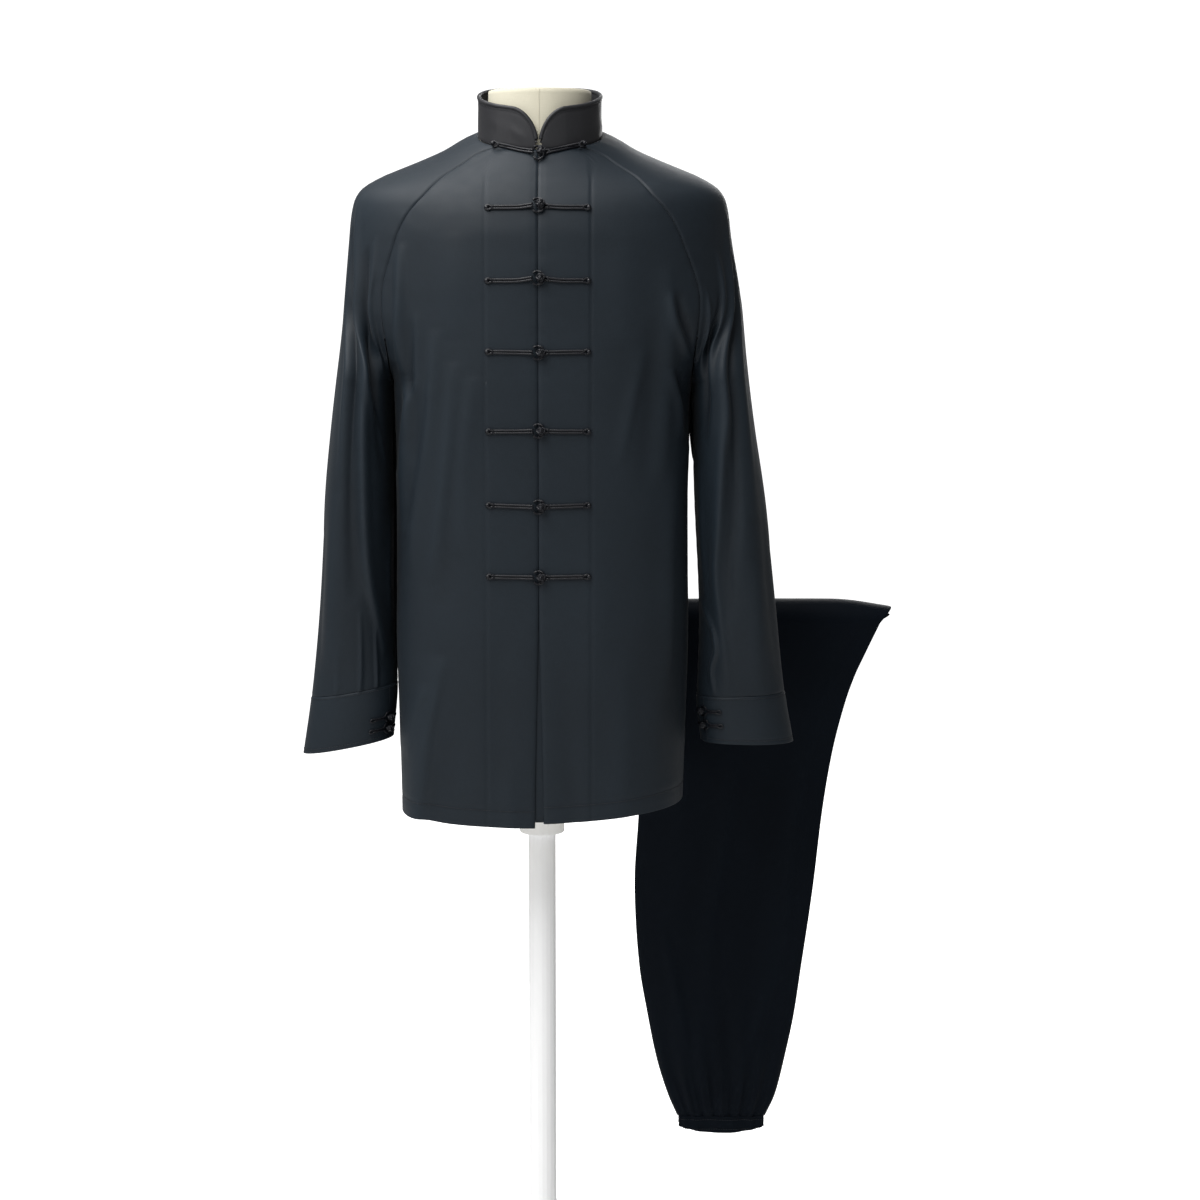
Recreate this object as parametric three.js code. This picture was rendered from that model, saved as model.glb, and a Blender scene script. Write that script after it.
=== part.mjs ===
// A tai chi uniform: a raglan jacket with frogs, on a limbless dress form, and its trousers, which are
// folded in half lengthwise and hung over a rod behind the jacket's lower left side.
// Millimetres, +Z up. The front faces -Y, the wearer's left is +X, and the origin is on the floor
// under the middle of the stand.

import * as THREE from 'three';

// Cloth and seams
const CLOTH = 1.6;              // wall of a cut panel
const COLLAR_CLOTH = 2.4;       // the collar is double cloth with a stiffening inside
const SEAM_GAP = 0.3;           // space between two pieces that are sewn together or lie face to face

// Heights of the jacket, measured at its sides
const NECKLINE = 1329;
const ARMHOLE_TOP = 1140;       // above it the sleeve and the body are one smooth shoulder
const ARMPIT = 1053;
const CUFF_SEAM = 690;
const CUFF_END = 626;
const HEM = 556;

// Roundness of the horizontal sections: 2 is an ellipse, more is squarer
const SHOULDER_ROUNDNESS = 2.15;
const BODY_ROUNDNESS = 3;
const SLEEVE_ROUNDNESS = 2.3;

// Centre front: the two fronts meet edge to edge and part below the last frog
const LAST_FROG = 838;
const HEM_OPENING = 9;
const LAP_LEFT = 30;            // how far the underlap reaches behind the left front
const LAP_RIGHT = 12;

// Collar
const COLLAR_HEIGHT = 45;
const COLLAR_BACK_HEIGHT = 39;
const COLLAR_MEETING = 12;      // height over which the two ends of the collar meet
const COLLAR_CORNER = 31;       // length of the rounded corner along the neckline
const BINDING_HEIGHT = 4.6;
const BINDING_THICKNESS = 3.6;

// Sleeves
const SEAM_REACH = 0.16;        // share of the way round over which a sleeve bends to the armhole seam
const SWING_RUN = 300;          // height below the armpit over which a sleeve swings out
const CUFF_OPENING = 0.09;      // place of the opening of a cuff, in front of its inner side

// The side that is worn fuller widens from this height down
const WIDENING_TOP = 1230;
const WIDENING_RUN = 90;

// Folds die out over one part in this many of a piece, next to its seams
const CALM_STEEPNESS = 9;

// Frogs: a doubled cord laid flat, a loop round a ball knot
const CORD = 2.5;
const CORD_SPREAD = 1.45;       // from the middle of the bar to the middle of each cord
const KNOT_RADIUS = 6.5;
const LOOP_RADIUS = 8.5;
const LOOP_MOUTH = 45;          // half angle at which the loop stays open for the bar of the knot
const FROG_NECK = 13;           // distance from the knot at which the two cords of a bar meet
const KNOT_SWELL = 14;          // how far beside the middle the bar rises to a lifted knot
const EYE = { width: 3.7, thickness: 1.9, lift: 0.6 };   // the curl at the end of a bar

// Rod for the trousers and the stand
const ROD_RADIUS = 9;
const ROD_Y = 195;
const ROD_Z = 752;
const ROD_END = 352;
const ROD_UPRIGHT_X = 62;
const CLAMP_HEIGHT = 26;
const CLAMP_MIDDLE = 541;
const POLE_RADIUS = 16;
const BASE_RADIUS = 190;
const BASE_THICKNESS = 14;
const FORM_BOTTOM = 574;

// Trousers
const LEG_THICKNESS = 9;        // one folded leg, pressed over the rod
const ANKLE_BAND_TOP = 126;
const ANKLE_BAND_BOTTOM = 104;
const WAIST_BAND_TOP = 528;
const WAIST_BAND_BOTTOM = 490;
const BAND_WALL = 2.2;
const CREST_DROOP = 6;          // how far the crotch point droops past the end of the rod
const CREST_LEFT = 124;
const CREST_RIGHT = 430;
const DROOP_START = 345;
const GATHER_TOP = 300;
const GATHER_RUN = 150;
const GATHER_RISE = 0.2;
const BAND_ROUNDING = 0.6;      // power that turns an oval into the flat loop of a casing

const DARK_CLOTH = { color: 0x23272e, roughness: 0.72, metalness: 0 };
const CORD_FINISH = { color: 0x15171d, roughness: 0.5, metalness: 0 };
const LINEN = { color: 0xd0c8b0, roughness: 0.85, metalness: 0 };
const WHITE_PAINT = { color: 0xe9e9e6, roughness: 0.4, metalness: 0.1 };

const SIDES = [
  {
    name: 'right', sign: -1, widening: 0, swing: 0, hemCentre: 556, hemSide: 562,
    seamOuter: 689, seamTilt: 0.17, cuffOuter: 624, cuffTilt: 0.19, frogLevels: [653, 640],
  },
  {
    name: 'left', sign: 1, widening: 0.024, swing: 9, hemCentre: 561, hemSide: 575,
    seamOuter: 695, seamTilt: -0.04, cuffOuter: 638, cuffTilt: 0.01, frogLevels: [670, 651],
  },
];

// Shoulder sections. The raglan columns give how far from the middle the seam crosses each section.
const SHOULDER = table(
  ['level', 'halfWidth', 'front', 'back', 'tilt', 'raglanFront', 'raglanBack'],
  [
    [1329, 70, 62, 66, 0.32, 44, 38],
    [1320, 90, 72, 80, 0.32, 70, 60],
    [1307, 114, 82, 92, 0.28, 88, 82],
    [1298, 136, 87.3, 100, 0.25, 102, 97],
    [1290, 158, 91.3, 106, 0.2175, 111, 107],
    [1281, 182, 95, 111, 0.18, 118, 115],
    [1270, 201, 99.4, 116, 0.1365, 125, 122],
    [1262, 207.5, 102.3, 118, 0.108, 130.5, 127.5],
    [1254, 211, 105, 120, 0.083, 136, 133],
    [1236, 214.5, 109.6, 122.5, 0.04, 147, 143.5],
    [1210, 217, 113.8, 125, 0.004, 158, 154],
    [1140, 223.5, 117, 126, 0, 175, 172],
    [1053, 231, 117, 122, 0, 175, 172],
  ],
);

// Body sections below the armpit
const BODY = table(
  ['level', 'halfWidth', 'front', 'back'],
  [
    [1053, 168, 117, 122],
    [1000, 167, 116, 118],
    [916, 164.5, 114, 114],
    [826, 165, 114, 115],
    [760, 166, 115, 118],
    [679, 164, 116, 121],
    [600, 161.5, 117, 122],
    [556, 160, 117, 121],
  ],
);

// Sleeve sections below the armpit, as the sleeve hangs: inner and outer side, depth and its middle
const SLEEVE = table(
  ['level', 'inner', 'outer', 'halfDepth', 'middle'],
  [
    [1140, 168, 221, 76, 0],
    [1053, 168, 231, 76, 0],
    [1000, 169.5, 237, 76, -1],
    [916, 168.5, 246.5, 71, -2],
    [800, 169.5, 255, 61, -4],
    [753, 169, 259, 55, -5],
    [690, 167, 266, 44, -7],
    [626, 172, 276, 40, -8],
  ],
);

// Folds of a sleeve. Places run once round the sleeve, from 0 at the underarm seam over the front.
const SLEEVE_FOLDS = table(
  ['topAt', 'bottomAt', 'top', 'bottom', 'width', 'rise'],
  [
    [0.47, 0.15, 1262, 702, 0.045, 5],
    [0.56, 0.26, 1245, 715, 0.05, -4.5],
    [0.36, 0.37, 1035, 730, 0.05, 3],
    [0.1, 0.09, 1195, 1080, 0.035, 4],
    [0.18, 0.16, 1185, 1050, 0.04, -4],
    [0.63, 0.8, 1235, 715, 0.05, 5],
    [0.73, 0.7, 1150, 820, 0.05, -4],
    [0.9, 0.91, 1180, 1075, 0.035, 4],
  ],
);

// Folds of the body, at distances from the middle. One whose bottom is below the hem runs into it.
const FRONT_FOLDS = {
  right: table(
    ['topAt', 'bottomAt', 'top', 'bottom', 'width', 'rise'],
    [
      [157, 148, 1185, 900, 14, 4],
      [134, 132, 1160, 980, 15, -3],
      [102, 184, 745, 367, 15, 4.5],
      [76, 158, 740, 372, 18, -3],
    ],
  ),
  left: table(
    ['topAt', 'bottomAt', 'top', 'bottom', 'width', 'rise'],
    [
      [165, 122, 1140, 800, 14, 4.5],
      [148, 98, 1125, 850, 16, -3],
      [166, 122, 900, 212, 15, 3.5],
    ],
  ),
};
const BACK_FOLDS = table(
  ['topAt', 'bottomAt', 'top', 'bottom', 'width', 'rise'],
  [
    [150, 126, 1150, 780, 16, 4],
    [120, 98, 1130, 860, 18, -3],
    [72, 96, 900, 212, 20, 3.5],
    [146, 129, 860, 252, 16, 3],
  ],
);

// Sections of the dress form below its shoulders, and of its neck
const FORM_BODY = table(
  ['level', 'halfWidth', 'front', 'back', 'roundness'],
  [
    [1218, 184, 99, 113, 2.25],
    [1180, 170, 103, 115, 2.3],
    [1130, 160, 104, 114, 2.4],
    [1070, 154, 102, 109, 2.4],
    [1000, 147, 96, 101, 2.4],
    [930, 142, 92, 96, 2.4],
    [850, 145, 95, 100, 2.4],
    [760, 151, 100, 107, 2.5],
    [680, 153, 103, 111, 2.5],
    [620, 151, 102, 109, 2.5],
    [574, 148, 99, 106, 2.5],
  ],
);
const FORM_NECK = table(
  ['level', 'halfWidth', 'front', 'back', 'tilt'],
  [
    [1377, 58, 52, 54, 0.02],
    [1364, 58.5, 53, 55, 0.12],
    [1349, 60, 54, 57, 0.26],
    [1336, 62.5, 55, 59, 0.32],
    [1327, 65, 57, 61, 0.32],
  ],
);
const FORM_SHOULDER_LEVELS = [1320, 1307, 1295, 1283, 1270, 1252];
const FORM_CLEARANCE = 0.8;
const FORM_CHEST_EASE = 7;      // the form is this much shallower than the shoulder of the jacket

// Outline of a hanging folded leg, front side: height, left edge and right edge, and how full it is
const LEG_FRONT = table(
  ['level', 'left', 'right', 'fullness'],
  [
    [752, 124, 414, 1],
    [716, 122, 397, 1],
    [685, 121, 383, 1],
    [653, 120, 372, 1.05],
    [590, 118, 356.5, 1.15],
    [517, 116, 345, 1.3],
    [426, 111, 335, 1.5],
    [387, 112, 330, 1.65],
    [320, 117, 320.5, 1.95],
    [260, 127, 312, 2.3],
    [201, 139, 300, 2.6],
    [155, 153, 289, 2.4],
    [126, 165, 277, 1.75],
  ],
);
// The seat behind the rod
const SEAT_BACK = table(
  ['level', 'left', 'right', 'fullness'],
  [
    [752, 124, 404, 1],
    [700, 123, 372, 1],
    [640, 124, 349, 1],
    [590, 126, 338, 1],
    [550, 128, 331, 1],
    [528, 130, 327, 1],
  ],
);
const LEG_COLUMNS = 15;
const LEG_BACK_COLUMNS = 5;
const LEG_GATHERS = 6.5;

// Frogs down the front: height of the knot, reach of the bar, and how far its ends rise
const FROGS = table(
  ['height', 'reach', 'rise', 'knotLift'],
  [
    [1302, 53, 13, 0],
    [1244, 58, 0, 2],
    [1166, 58, 0, 3],
    [1085, 58, 1, 0],
    [1000, 58, 0, 1],
    [916, 58, 2, 0],
    [838, 58, 1, 0],
  ],
);

// Reading tables

function table(names, rows) {
  return rows.map((row) => Object.fromEntries(names.map((name, i) => [name, row[i]])));
}

// A smooth curve through one column of a table that never swings past its values
function track(rows, name) {
  const points = rows.map((row) => [row.level, row[name]]).sort((a, b) => a[0] - b[0]);
  const last = points.length - 1;
  const rates = points.slice(1).map((p, i) => (p[1] - points[i][1]) / (p[0] - points[i][0]));
  const slopes = points.map((_, i) => {
    if (i === 0) return rates[0];
    if (i === last) return rates[last - 1];
    const [before, after] = [rates[i - 1], rates[i]];
    return before * after <= 0 ? 0 : (2 * before * after) / (before + after);
  });
  return (level) => {
    const at = THREE.MathUtils.clamp(level, points[0][0], points[last][0]);
    let i = 0;
    while (i < last - 1 && at > points[i + 1][0]) i += 1;
    const span = points[i + 1][0] - points[i][0];
    const s = (at - points[i][0]) / span;
    const rest = 1 - s;
    return (
      points[i][1] * (1 + 2 * s) * rest * rest +
      points[i + 1][1] * s * s * (3 - 2 * s) +
      span * (slopes[i] * s * rest * rest - slopes[i + 1] * s * s * rest)
    );
  };
}

const tracks = (rows) =>
  Object.fromEntries(Object.keys(rows[0]).filter((n) => n !== 'level').map((n) => [n, track(rows, n)]));

const shoulder = tracks(SHOULDER);
const body = tracks(BODY);
const sleeve = tracks(SLEEVE);

const mix = THREE.MathUtils.lerp;
const smooth = (s) => THREE.MathUtils.smoothstep(s, 0, 1);
const signedPower = (value, power) => Math.sign(value) * Math.abs(value) ** power;

// Meshes

function meshFrom(points, triangles) {
  const geometry = new THREE.BufferGeometry();
  geometry.setAttribute('position', new THREE.Float32BufferAttribute(points.flatMap((p) => p.toArray()), 3));
  const volume = triangles.reduce((sum, [a, b, c]) => {
    const cross = new THREE.Vector3().crossVectors(points[b], points[c]);
    return sum + points[a].dot(cross);
  }, 0);
  const facing = volume < 0 ? triangles.map(([a, b, c]) => [a, c, b]) : triangles;
  geometry.setIndex(facing.flat());
  geometry.computeVertexNormals();
  return geometry;
}

function normalAt(surface, u, v, stepU, stepV) {
  const across = surface(u + stepU, v).sub(surface(u - stepU, v));
  const up = surface(u, v + stepV).sub(surface(u, v - stepV));
  return across.cross(up).normalize();
}

// Draws one border of a grid back from a seam, along the cloth
function drawBack(grid, border, distance) {
  const rows = grid.length;
  const columns = grid[0].length;
  const pairs = {
    first: grid.map((row) => [row, 0, row, 1]),
    last: grid.map((row) => [row, columns - 1, row, columns - 2]),
    bottom: grid[0].map((_, j) => [grid[0], j, grid[1], j]),
    top: grid[0].map((_, j) => [grid[rows - 1], j, grid[rows - 2], j]),
  }[border];
  for (const [row, j, nextRow, k] of pairs) {
    row[j] = row[j].clone().add(nextRow[k].clone().sub(row[j]).setLength(distance));
  }
}

// A sheet of cloth as a closed wall: a grid of outer points, and the same grid one wall further in
function clothWall({ surface, columns, rows, outward, wall = CLOTH, stepU = 0.002, stepV = 0.5, seams }) {
  const outer = rows.map((v) => columns.map((u) => surface(u, v)));
  const inner = rows.map((v, i) =>
    columns.map((u, j) => {
      const inward = normalAt(surface, u, v, stepU, stepV).multiplyScalar(-outward * wall);
      return outer[i][j].clone().add(inward);
    }),
  );
  for (const border of seams) {
    drawBack(outer, border, SEAM_GAP / 2);
    drawBack(inner, border, SEAM_GAP / 2);
  }
  const width = columns.length;
  const size = width * rows.length;
  const at = (i, j, layer) => layer * size + i * width + j;
  const triangles = [];
  const quad = (a, b, c, d) => triangles.push([a, b, c], [a, c, d]);
  for (let i = 0; i < rows.length - 1; i += 1) {
    for (let j = 0; j < width - 1; j += 1) {
      quad(at(i, j, 0), at(i, j + 1, 0), at(i + 1, j + 1, 0), at(i + 1, j, 0));
      quad(at(i, j, 1), at(i + 1, j, 1), at(i + 1, j + 1, 1), at(i, j + 1, 1));
    }
    quad(at(i, 0, 0), at(i + 1, 0, 0), at(i + 1, 0, 1), at(i, 0, 1));
    quad(at(i, width - 1, 0), at(i, width - 1, 1), at(i + 1, width - 1, 1), at(i + 1, width - 1, 0));
  }
  const end = rows.length - 1;
  for (let j = 0; j < width - 1; j += 1) {
    quad(at(0, j, 0), at(0, j, 1), at(0, j + 1, 1), at(0, j + 1, 0));
    quad(at(end, j, 0), at(end, j + 1, 0), at(end, j + 1, 1), at(end, j, 1));
  }
  return meshFrom([...outer.flat(), ...inner.flat()], triangles);
}

// A solid skin over a stack of rings with the same number of points, closed at both ends
function ringStack(rings) {
  const count = rings[0].length;
  const points = rings.flat();
  const triangles = [];
  for (let i = 0; i < rings.length - 1; i += 1) {
    for (let j = 0; j < count; j += 1) {
      const next = (j + 1) % count;
      const [a, b, c, d] = [i * count + j, i * count + next, (i + 1) * count + next, (i + 1) * count + j];
      triangles.push([a, b, c], [a, c, d]);
    }
  }
  const ends = [
    [0, 1],
    [rings.length - 1, -1],
  ];
  for (const [row, direction] of ends) {
    const middle = points.length;
    points.push(average(rings[row]));
    for (let j = 0; j < count; j += 1) {
      const pair = [row * count + j, row * count + ((j + 1) % count)];
      triangles.push(direction > 0 ? [middle, pair[1], pair[0]] : [middle, pair[0], pair[1]]);
    }
  }
  return meshFrom(points, triangles);
}

// A hollow ring: outer and inner loops at the bottom and at the top
function openBand(outerBottom, outerTop, innerBottom, innerTop) {
  const loops = [outerBottom, outerTop, innerTop, innerBottom];
  const count = outerBottom.length;
  const triangles = [];
  for (let k = 0; k < loops.length; k += 1) {
    const following = (k + 1) % loops.length;
    for (let j = 0; j < count; j += 1) {
      const next = (j + 1) % count;
      const [a, b] = [k * count + j, k * count + next];
      const [c, d] = [following * count + next, following * count + j];
      triangles.push([a, b, c], [a, c, d]);
    }
  }
  return meshFrom(loops.flat(), triangles);
}

function average(points) {
  return points.reduce((sum, p) => sum.add(p), new THREE.Vector3()).divideScalar(points.length);
}

// A cord or bar through stations: each has its middle, the direction away from the cloth, the
// direction along the cloth across the cord, and its half width and half thickness
function laidCord(stations, sides) {
  return ringStack(
    stations.map(({ middle, out, across, width, thickness }) =>
      Array.from({ length: sides }, (_, i) => {
        const turn = ((i + 0.5) / sides) * 2 * Math.PI;
        return middle
          .clone()
          .addScaledVector(across, width * Math.cos(turn))
          .addScaledVector(out, thickness * Math.sin(turn));
      }),
    ),
  );
}

// Jacket body

const isFront = (face) => face === 'front';

// Share of the way up the armhole, from 0 at the armpit
const armholeShare = (level) => THREE.MathUtils.clamp((level - ARMPIT) / (ARMHOLE_TOP - ARMPIT), 0, 1);

// How wide the armhole is open there: the seam runs round under the arm in an arc
function armholeOpening(level) {
  const s = armholeShare(level);
  return Math.sqrt(s * (2 - s));
}

// Where the raglan seam crosses a section: distance from the middle, and depth
function raglanAt(face, level) {
  const open = armholeOpening(level);
  const depth = shoulder[face](level);
  const seam = (isFront(face) ? shoulder.raglanFront : shoulder.raglanBack)(level);
  const share = (seam / shoulder.halfWidth(level)) ** SHOULDER_ROUNDNESS;
  const full = depth * (1 - share) ** (1 / SHOULDER_ROUNDNESS);
  return { x: mix(body.halfWidth(ARMPIT), seam, smooth(armholeShare(level))), y: open * full, full, seam };
}

// The body's section at a level: how far it would reach sideways, its depth and its roundness
function bodySection(face, level) {
  if (level < ARMPIT) {
    return { reach: body.halfWidth(level), depth: body[face](level), power: BODY_ROUNDNESS };
  }
  const seam = raglanAt(face, level);
  const depth = shoulder[face](level);
  const power = mix(BODY_ROUNDNESS, SHOULDER_ROUNDNESS, smooth(armholeShare(level)));
  const reach = seam.x / (1 - (seam.y / depth) ** power) ** (1 / power);
  return { reach, depth, power };
}

function seamAngle(face, level) {
  if (level < ARMPIT) return Math.PI / 2;
  const seam = raglanAt(face, level);
  return Math.atan2(seam.x, seam.y);
}

const widening = (side, level) => 1 + side.widening * smooth((WIDENING_TOP - level) / WIDENING_RUN);

function hemHeight(side, face, x) {
  const edge = body.halfWidth(HEM);
  if (isFront(face)) return mix(side.hemCentre, side.hemSide, Math.min(1, Math.abs(x) / edge) ** 1.5);
  const across = (side.sign * x) / edge;
  return mix(SIDES[0].hemSide, SIDES[1].hemSide, (across + 1) / 2);
}

function bodyHeight(side, face, level, x, y) {
  if (level >= ARMPIT) return level + shoulder.tilt(level) * y;
  const share = (ARMPIT - level) / (ARMPIT - HEM);
  return ARMPIT - share * (ARMPIT - hemHeight(side, face, x));
}

function foldRise(folds, at, level) {
  return folds.reduce((sum, fold) => {
    const s = (fold.top - level) / (fold.top - fold.bottom);
    if (s <= 0 || s >= 1) return sum;
    const away = (at - mix(fold.topAt, fold.bottomAt, s)) / fold.width;
    return sum + fold.rise * Math.exp(-away * away) * Math.sqrt(Math.sin(Math.PI * s));
  }, 0);
}

// Folds die out where a piece is sewn to the next one, so that both have the same edge
const calmAtSeam = (share) => smooth((1 - share) * CALM_STEEPNESS);

function bodyPoint(side, face, angle, level) {
  const section = bodySection(face, level);
  const [across, along] = [Math.sin(angle), Math.cos(angle)];
  const sum = Math.abs(across / section.reach) ** section.power + Math.abs(along / section.depth) ** section.power;
  const plain = sum ** (-1 / section.power);
  const folds = isFront(face) ? FRONT_FOLDS[side.name] : BACK_FOLDS;
  const rise = foldRise(folds, plain * across, level) * calmAtSeam(angle / seamAngle(face, level));
  const radius = plain + rise;
  const x = radius * across;
  const y = (isFront(face) ? -1 : 1) * radius * along;
  const z = bodyHeight(side, face, level, plain * across, y);
  return new THREE.Vector3(side.sign * x * widening(side, level), y, z);
}

const frontOpening = (level) => (HEM_OPENING / 2) * smooth((LAST_FROG - level) / (LAST_FROG - HEM));

function frontSurface(side) {
  return (u, level) => {
    const start = Math.atan2(frontOpening(level), bodySection('front', level).depth);
    return bodyPoint(side, 'front', mix(start, seamAngle('front', level), u), level);
  };
}

// The back runs from -1 at the right seam to 1 at the left seam
function backSurface(u, level) {
  const side = u < 0 ? SIDES[0] : SIDES[1];
  return bodyPoint(side, 'back', Math.abs(u) * seamAngle('back', level), level);
}

// A point of the front at a distance from the middle and a height
function frontAt(side, x, z) {
  let level = z;
  let point = new THREE.Vector3();
  for (let i = 0; i < 12; i += 1) {
    const section = bodySection('front', level);
    const depth = section.depth * (1 - (x / section.reach) ** section.power) ** (1 / section.power);
    point = bodyPoint(side, 'front', Math.atan2(x, depth), level);
    level += z - point.z;
  }
  return point;
}

// Sleeves

// The arc of the shoulder section between the two raglan seams
function capPoint(turn, level) {
  const face = turn <= 0.5 ? 'front' : 'back';
  const seam = raglanAt(face, level);
  const start = Math.atan2(seam.seam, seam.full);
  const angle = mix(start, Math.PI / 2, (isFront(face) ? turn : 1 - turn) * 2);
  const reach = shoulder.halfWidth(level);
  const depth = shoulder[face](level);
  const [across, along] = [Math.sin(angle), Math.cos(angle)];
  const power = SHOULDER_ROUNDNESS;
  const sum = Math.abs(across / reach) ** power + Math.abs(along / depth) ** power;
  const radius = sum ** (-1 / power);
  return [radius * across, (isFront(face) ? -1 : 1) * radius * along];
}

// The hanging tube, from the underarm seam over the front, round and back
function tubePoint(turn, level) {
  const angle = turn * 2 * Math.PI;
  const middle = (sleeve.inner(level) + sleeve.outer(level)) / 2;
  const half = (sleeve.outer(level) - sleeve.inner(level)) / 2;
  const x = middle - half * signedPower(Math.cos(angle), 2 / SLEEVE_ROUNDNESS);
  const y = sleeve.middle(level) - sleeve.halfDepth(level) * signedPower(Math.sin(angle), 2 / SLEEVE_ROUNDNESS);
  return [x, y];
}

function sleeveHeight(side, level, x, y) {
  if (level >= ARMPIT) return level + shoulder.tilt(level) * y;
  const inset = sleeve.outer(level) - x;
  const atSeam = side.seamOuter + side.seamTilt * inset - CUFF_SEAM;
  if (level >= CUFF_SEAM) return level + atSeam * smooth((ARMPIT - level) / (ARMPIT - CUFF_SEAM));
  const atEnd = side.cuffOuter + side.cuffTilt * inset - CUFF_END;
  return level + mix(atSeam, atEnd, (CUFF_SEAM - level) / (CUFF_SEAM - CUFF_END));
}

// The section of a sleeve: the tube turns into the cap up the armhole, and its two edges follow the seam
function sleeveSection(turn, level) {
  const share = smooth(armholeShare(level));
  const blend = (at) => {
    const tube = tubePoint(at, level);
    const cap = share > 0 ? capPoint(at, level) : tube;
    return [mix(tube[0], cap[0], share), mix(tube[1], cap[1], share)];
  };
  const point = blend(turn);
  if (level < ARMPIT) return point;
  const face = turn <= 0.5 ? 'front' : 'back';
  const edge = blend(isFront(face) ? 0 : 1);
  const seam = raglanAt(face, level);
  const near = Math.max(0, 1 - Math.min(turn, 1 - turn) / SEAM_REACH) ** 2;
  const y = (isFront(face) ? -1 : 1) * seam.y;
  return [point[0] + near * (seam.x - edge[0]), point[1] + near * (y - edge[1])];
}

function plainSleeve(side) {
  return (turn, level) => {
    const [x, y] = sleeveSection(turn, level);
    const out = x * widening(side, level) + side.swing * smooth((ARMPIT - level) / SWING_RUN);
    return new THREE.Vector3(side.sign * out, y, sleeveHeight(side, level, x, y));
  };
}

function sleeveSurface(side) {
  const plain = plainSleeve(side);
  return (turn, level) => {
    const out = normalAt(plain, turn, level, 0.004, 0.5).multiplyScalar(side.sign);
    const calm = calmAtSeam(1 - turn) * calmAtSeam(turn);
    return plain(turn, level).addScaledVector(out, calm * foldRise(SLEEVE_FOLDS, turn, level));
  };
}

// Levels of the rows that the fronts, the back and the sleeves share along the raglan seam
const SHOULDER_LEVELS = [1329, 1320, 1307, 1295, 1283, 1270, 1252, 1222, 1184, 1140];
const ARMHOLE_LEVELS = [67.5, 45, 22.5, 0].map((degrees) => {
  const s = 1 - Math.cos(THREE.MathUtils.degToRad(degrees));
  return ARMPIT + s * (ARMHOLE_TOP - ARMPIT);
});
const BODY_LEVELS = [1000, 930, 860, 790, 730, 670, 610, 556];
const SLEEVE_LEVELS = [1015, 960, 900, 840, 785, 740, 712, 690];
const SHARED_LEVELS = [...SHOULDER_LEVELS, ...ARMHOLE_LEVELS];
const FRONT_COLUMNS = [0, 0.16, 0.33, 0.47, 0.59, 0.69, 0.79, 0.88, 0.95, 1];
const BACK_HALF = [0.13, 0.29, 0.44, 0.58, 0.7, 0.81, 0.91, 1];
const BACK_COLUMNS = [...BACK_HALF.map((u) => -u).reverse(), 0, ...BACK_HALF];
const SLEEVE_COLUMNS = Array.from({ length: 23 }, (_, i) => i / 22);
const CUFF_COLUMNS = 18;
const UNDERLAP_LEVELS = [1236, 1170, 1090, 1000, 910, 820, 740, 660, 600, HEM + 8];
const UNDERLAP_CLOTH = 1.2;

function makeFront(side) {
  return clothWall({
    surface: frontSurface(side),
    columns: FRONT_COLUMNS,
    rows: [...SHARED_LEVELS, ...BODY_LEVELS],
    outward: side.sign,
    seams: ['first', 'last', 'bottom'],
  });
}

function makeBack() {
  return clothWall({
    surface: backSurface,
    columns: BACK_COLUMNS,
    rows: [...SHARED_LEVELS, ...BODY_LEVELS],
    outward: -1,
    seams: ['first', 'last', 'bottom'],
  });
}

function makeSleeve(side) {
  return clothWall({
    surface: sleeveSurface(side),
    columns: SLEEVE_COLUMNS,
    rows: [...SHARED_LEVELS, ...SLEEVE_LEVELS],
    outward: side.sign,
    seams: ['first', 'last', 'bottom', 'top'],
  });
}

function makeCuff(side) {
  const columns = Array.from({ length: CUFF_COLUMNS + 1 }, (_, i) => CUFF_OPENING + i / CUFF_COLUMNS);
  return clothWall({
    surface: plainSleeve(side),
    columns,
    rows: [CUFF_SEAM - SEAM_GAP / 2, (CUFF_SEAM + CUFF_END) / 2, CUFF_END],
    outward: side.sign,
    seams: ['first', 'last'],
  });
}

// The strip behind the centre-front opening, laid against the inside of both fronts
function makeUnderlap() {
  const behind = CLOTH + 3 * SEAM_GAP;
  const surface = (x, z) => {
    const side = x < 0 ? SIDES[0] : SIDES[1];
    const point = frontAt(side, Math.abs(x), z);
    point.y += behind;
    return point;
  };
  return clothWall({
    surface,
    columns: [-LAP_RIGHT, 0, LAP_LEFT / 2, LAP_LEFT],
    rows: UNDERLAP_LEVELS,
    outward: 1,
    wall: UNDERLAP_CLOTH,
    stepU: 1,
    seams: [],
  });
}

// Collar

const CORNER_DEGREES = [0, 12, 24, 36, 50, 66, 90];
const CORNER_POWER = 1.24;
const ROUND_DEGREES = [40, 56, 72, 88, 104, 120, 136, 152, 167, 180];

// A point of the neckline: the turn runs from the centre front over the left side and round
function neckPoint(turn) {
  const face = Math.cos(turn) > 0 ? 'front' : 'back';
  const y = -shoulder[face](NECKLINE) * Math.cos(turn);
  const x = shoulder.halfWidth(NECKLINE) * Math.sin(turn);
  return new THREE.Vector3(x, y, NECKLINE + shoulder.tilt(NECKLINE) * y);
}

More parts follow.
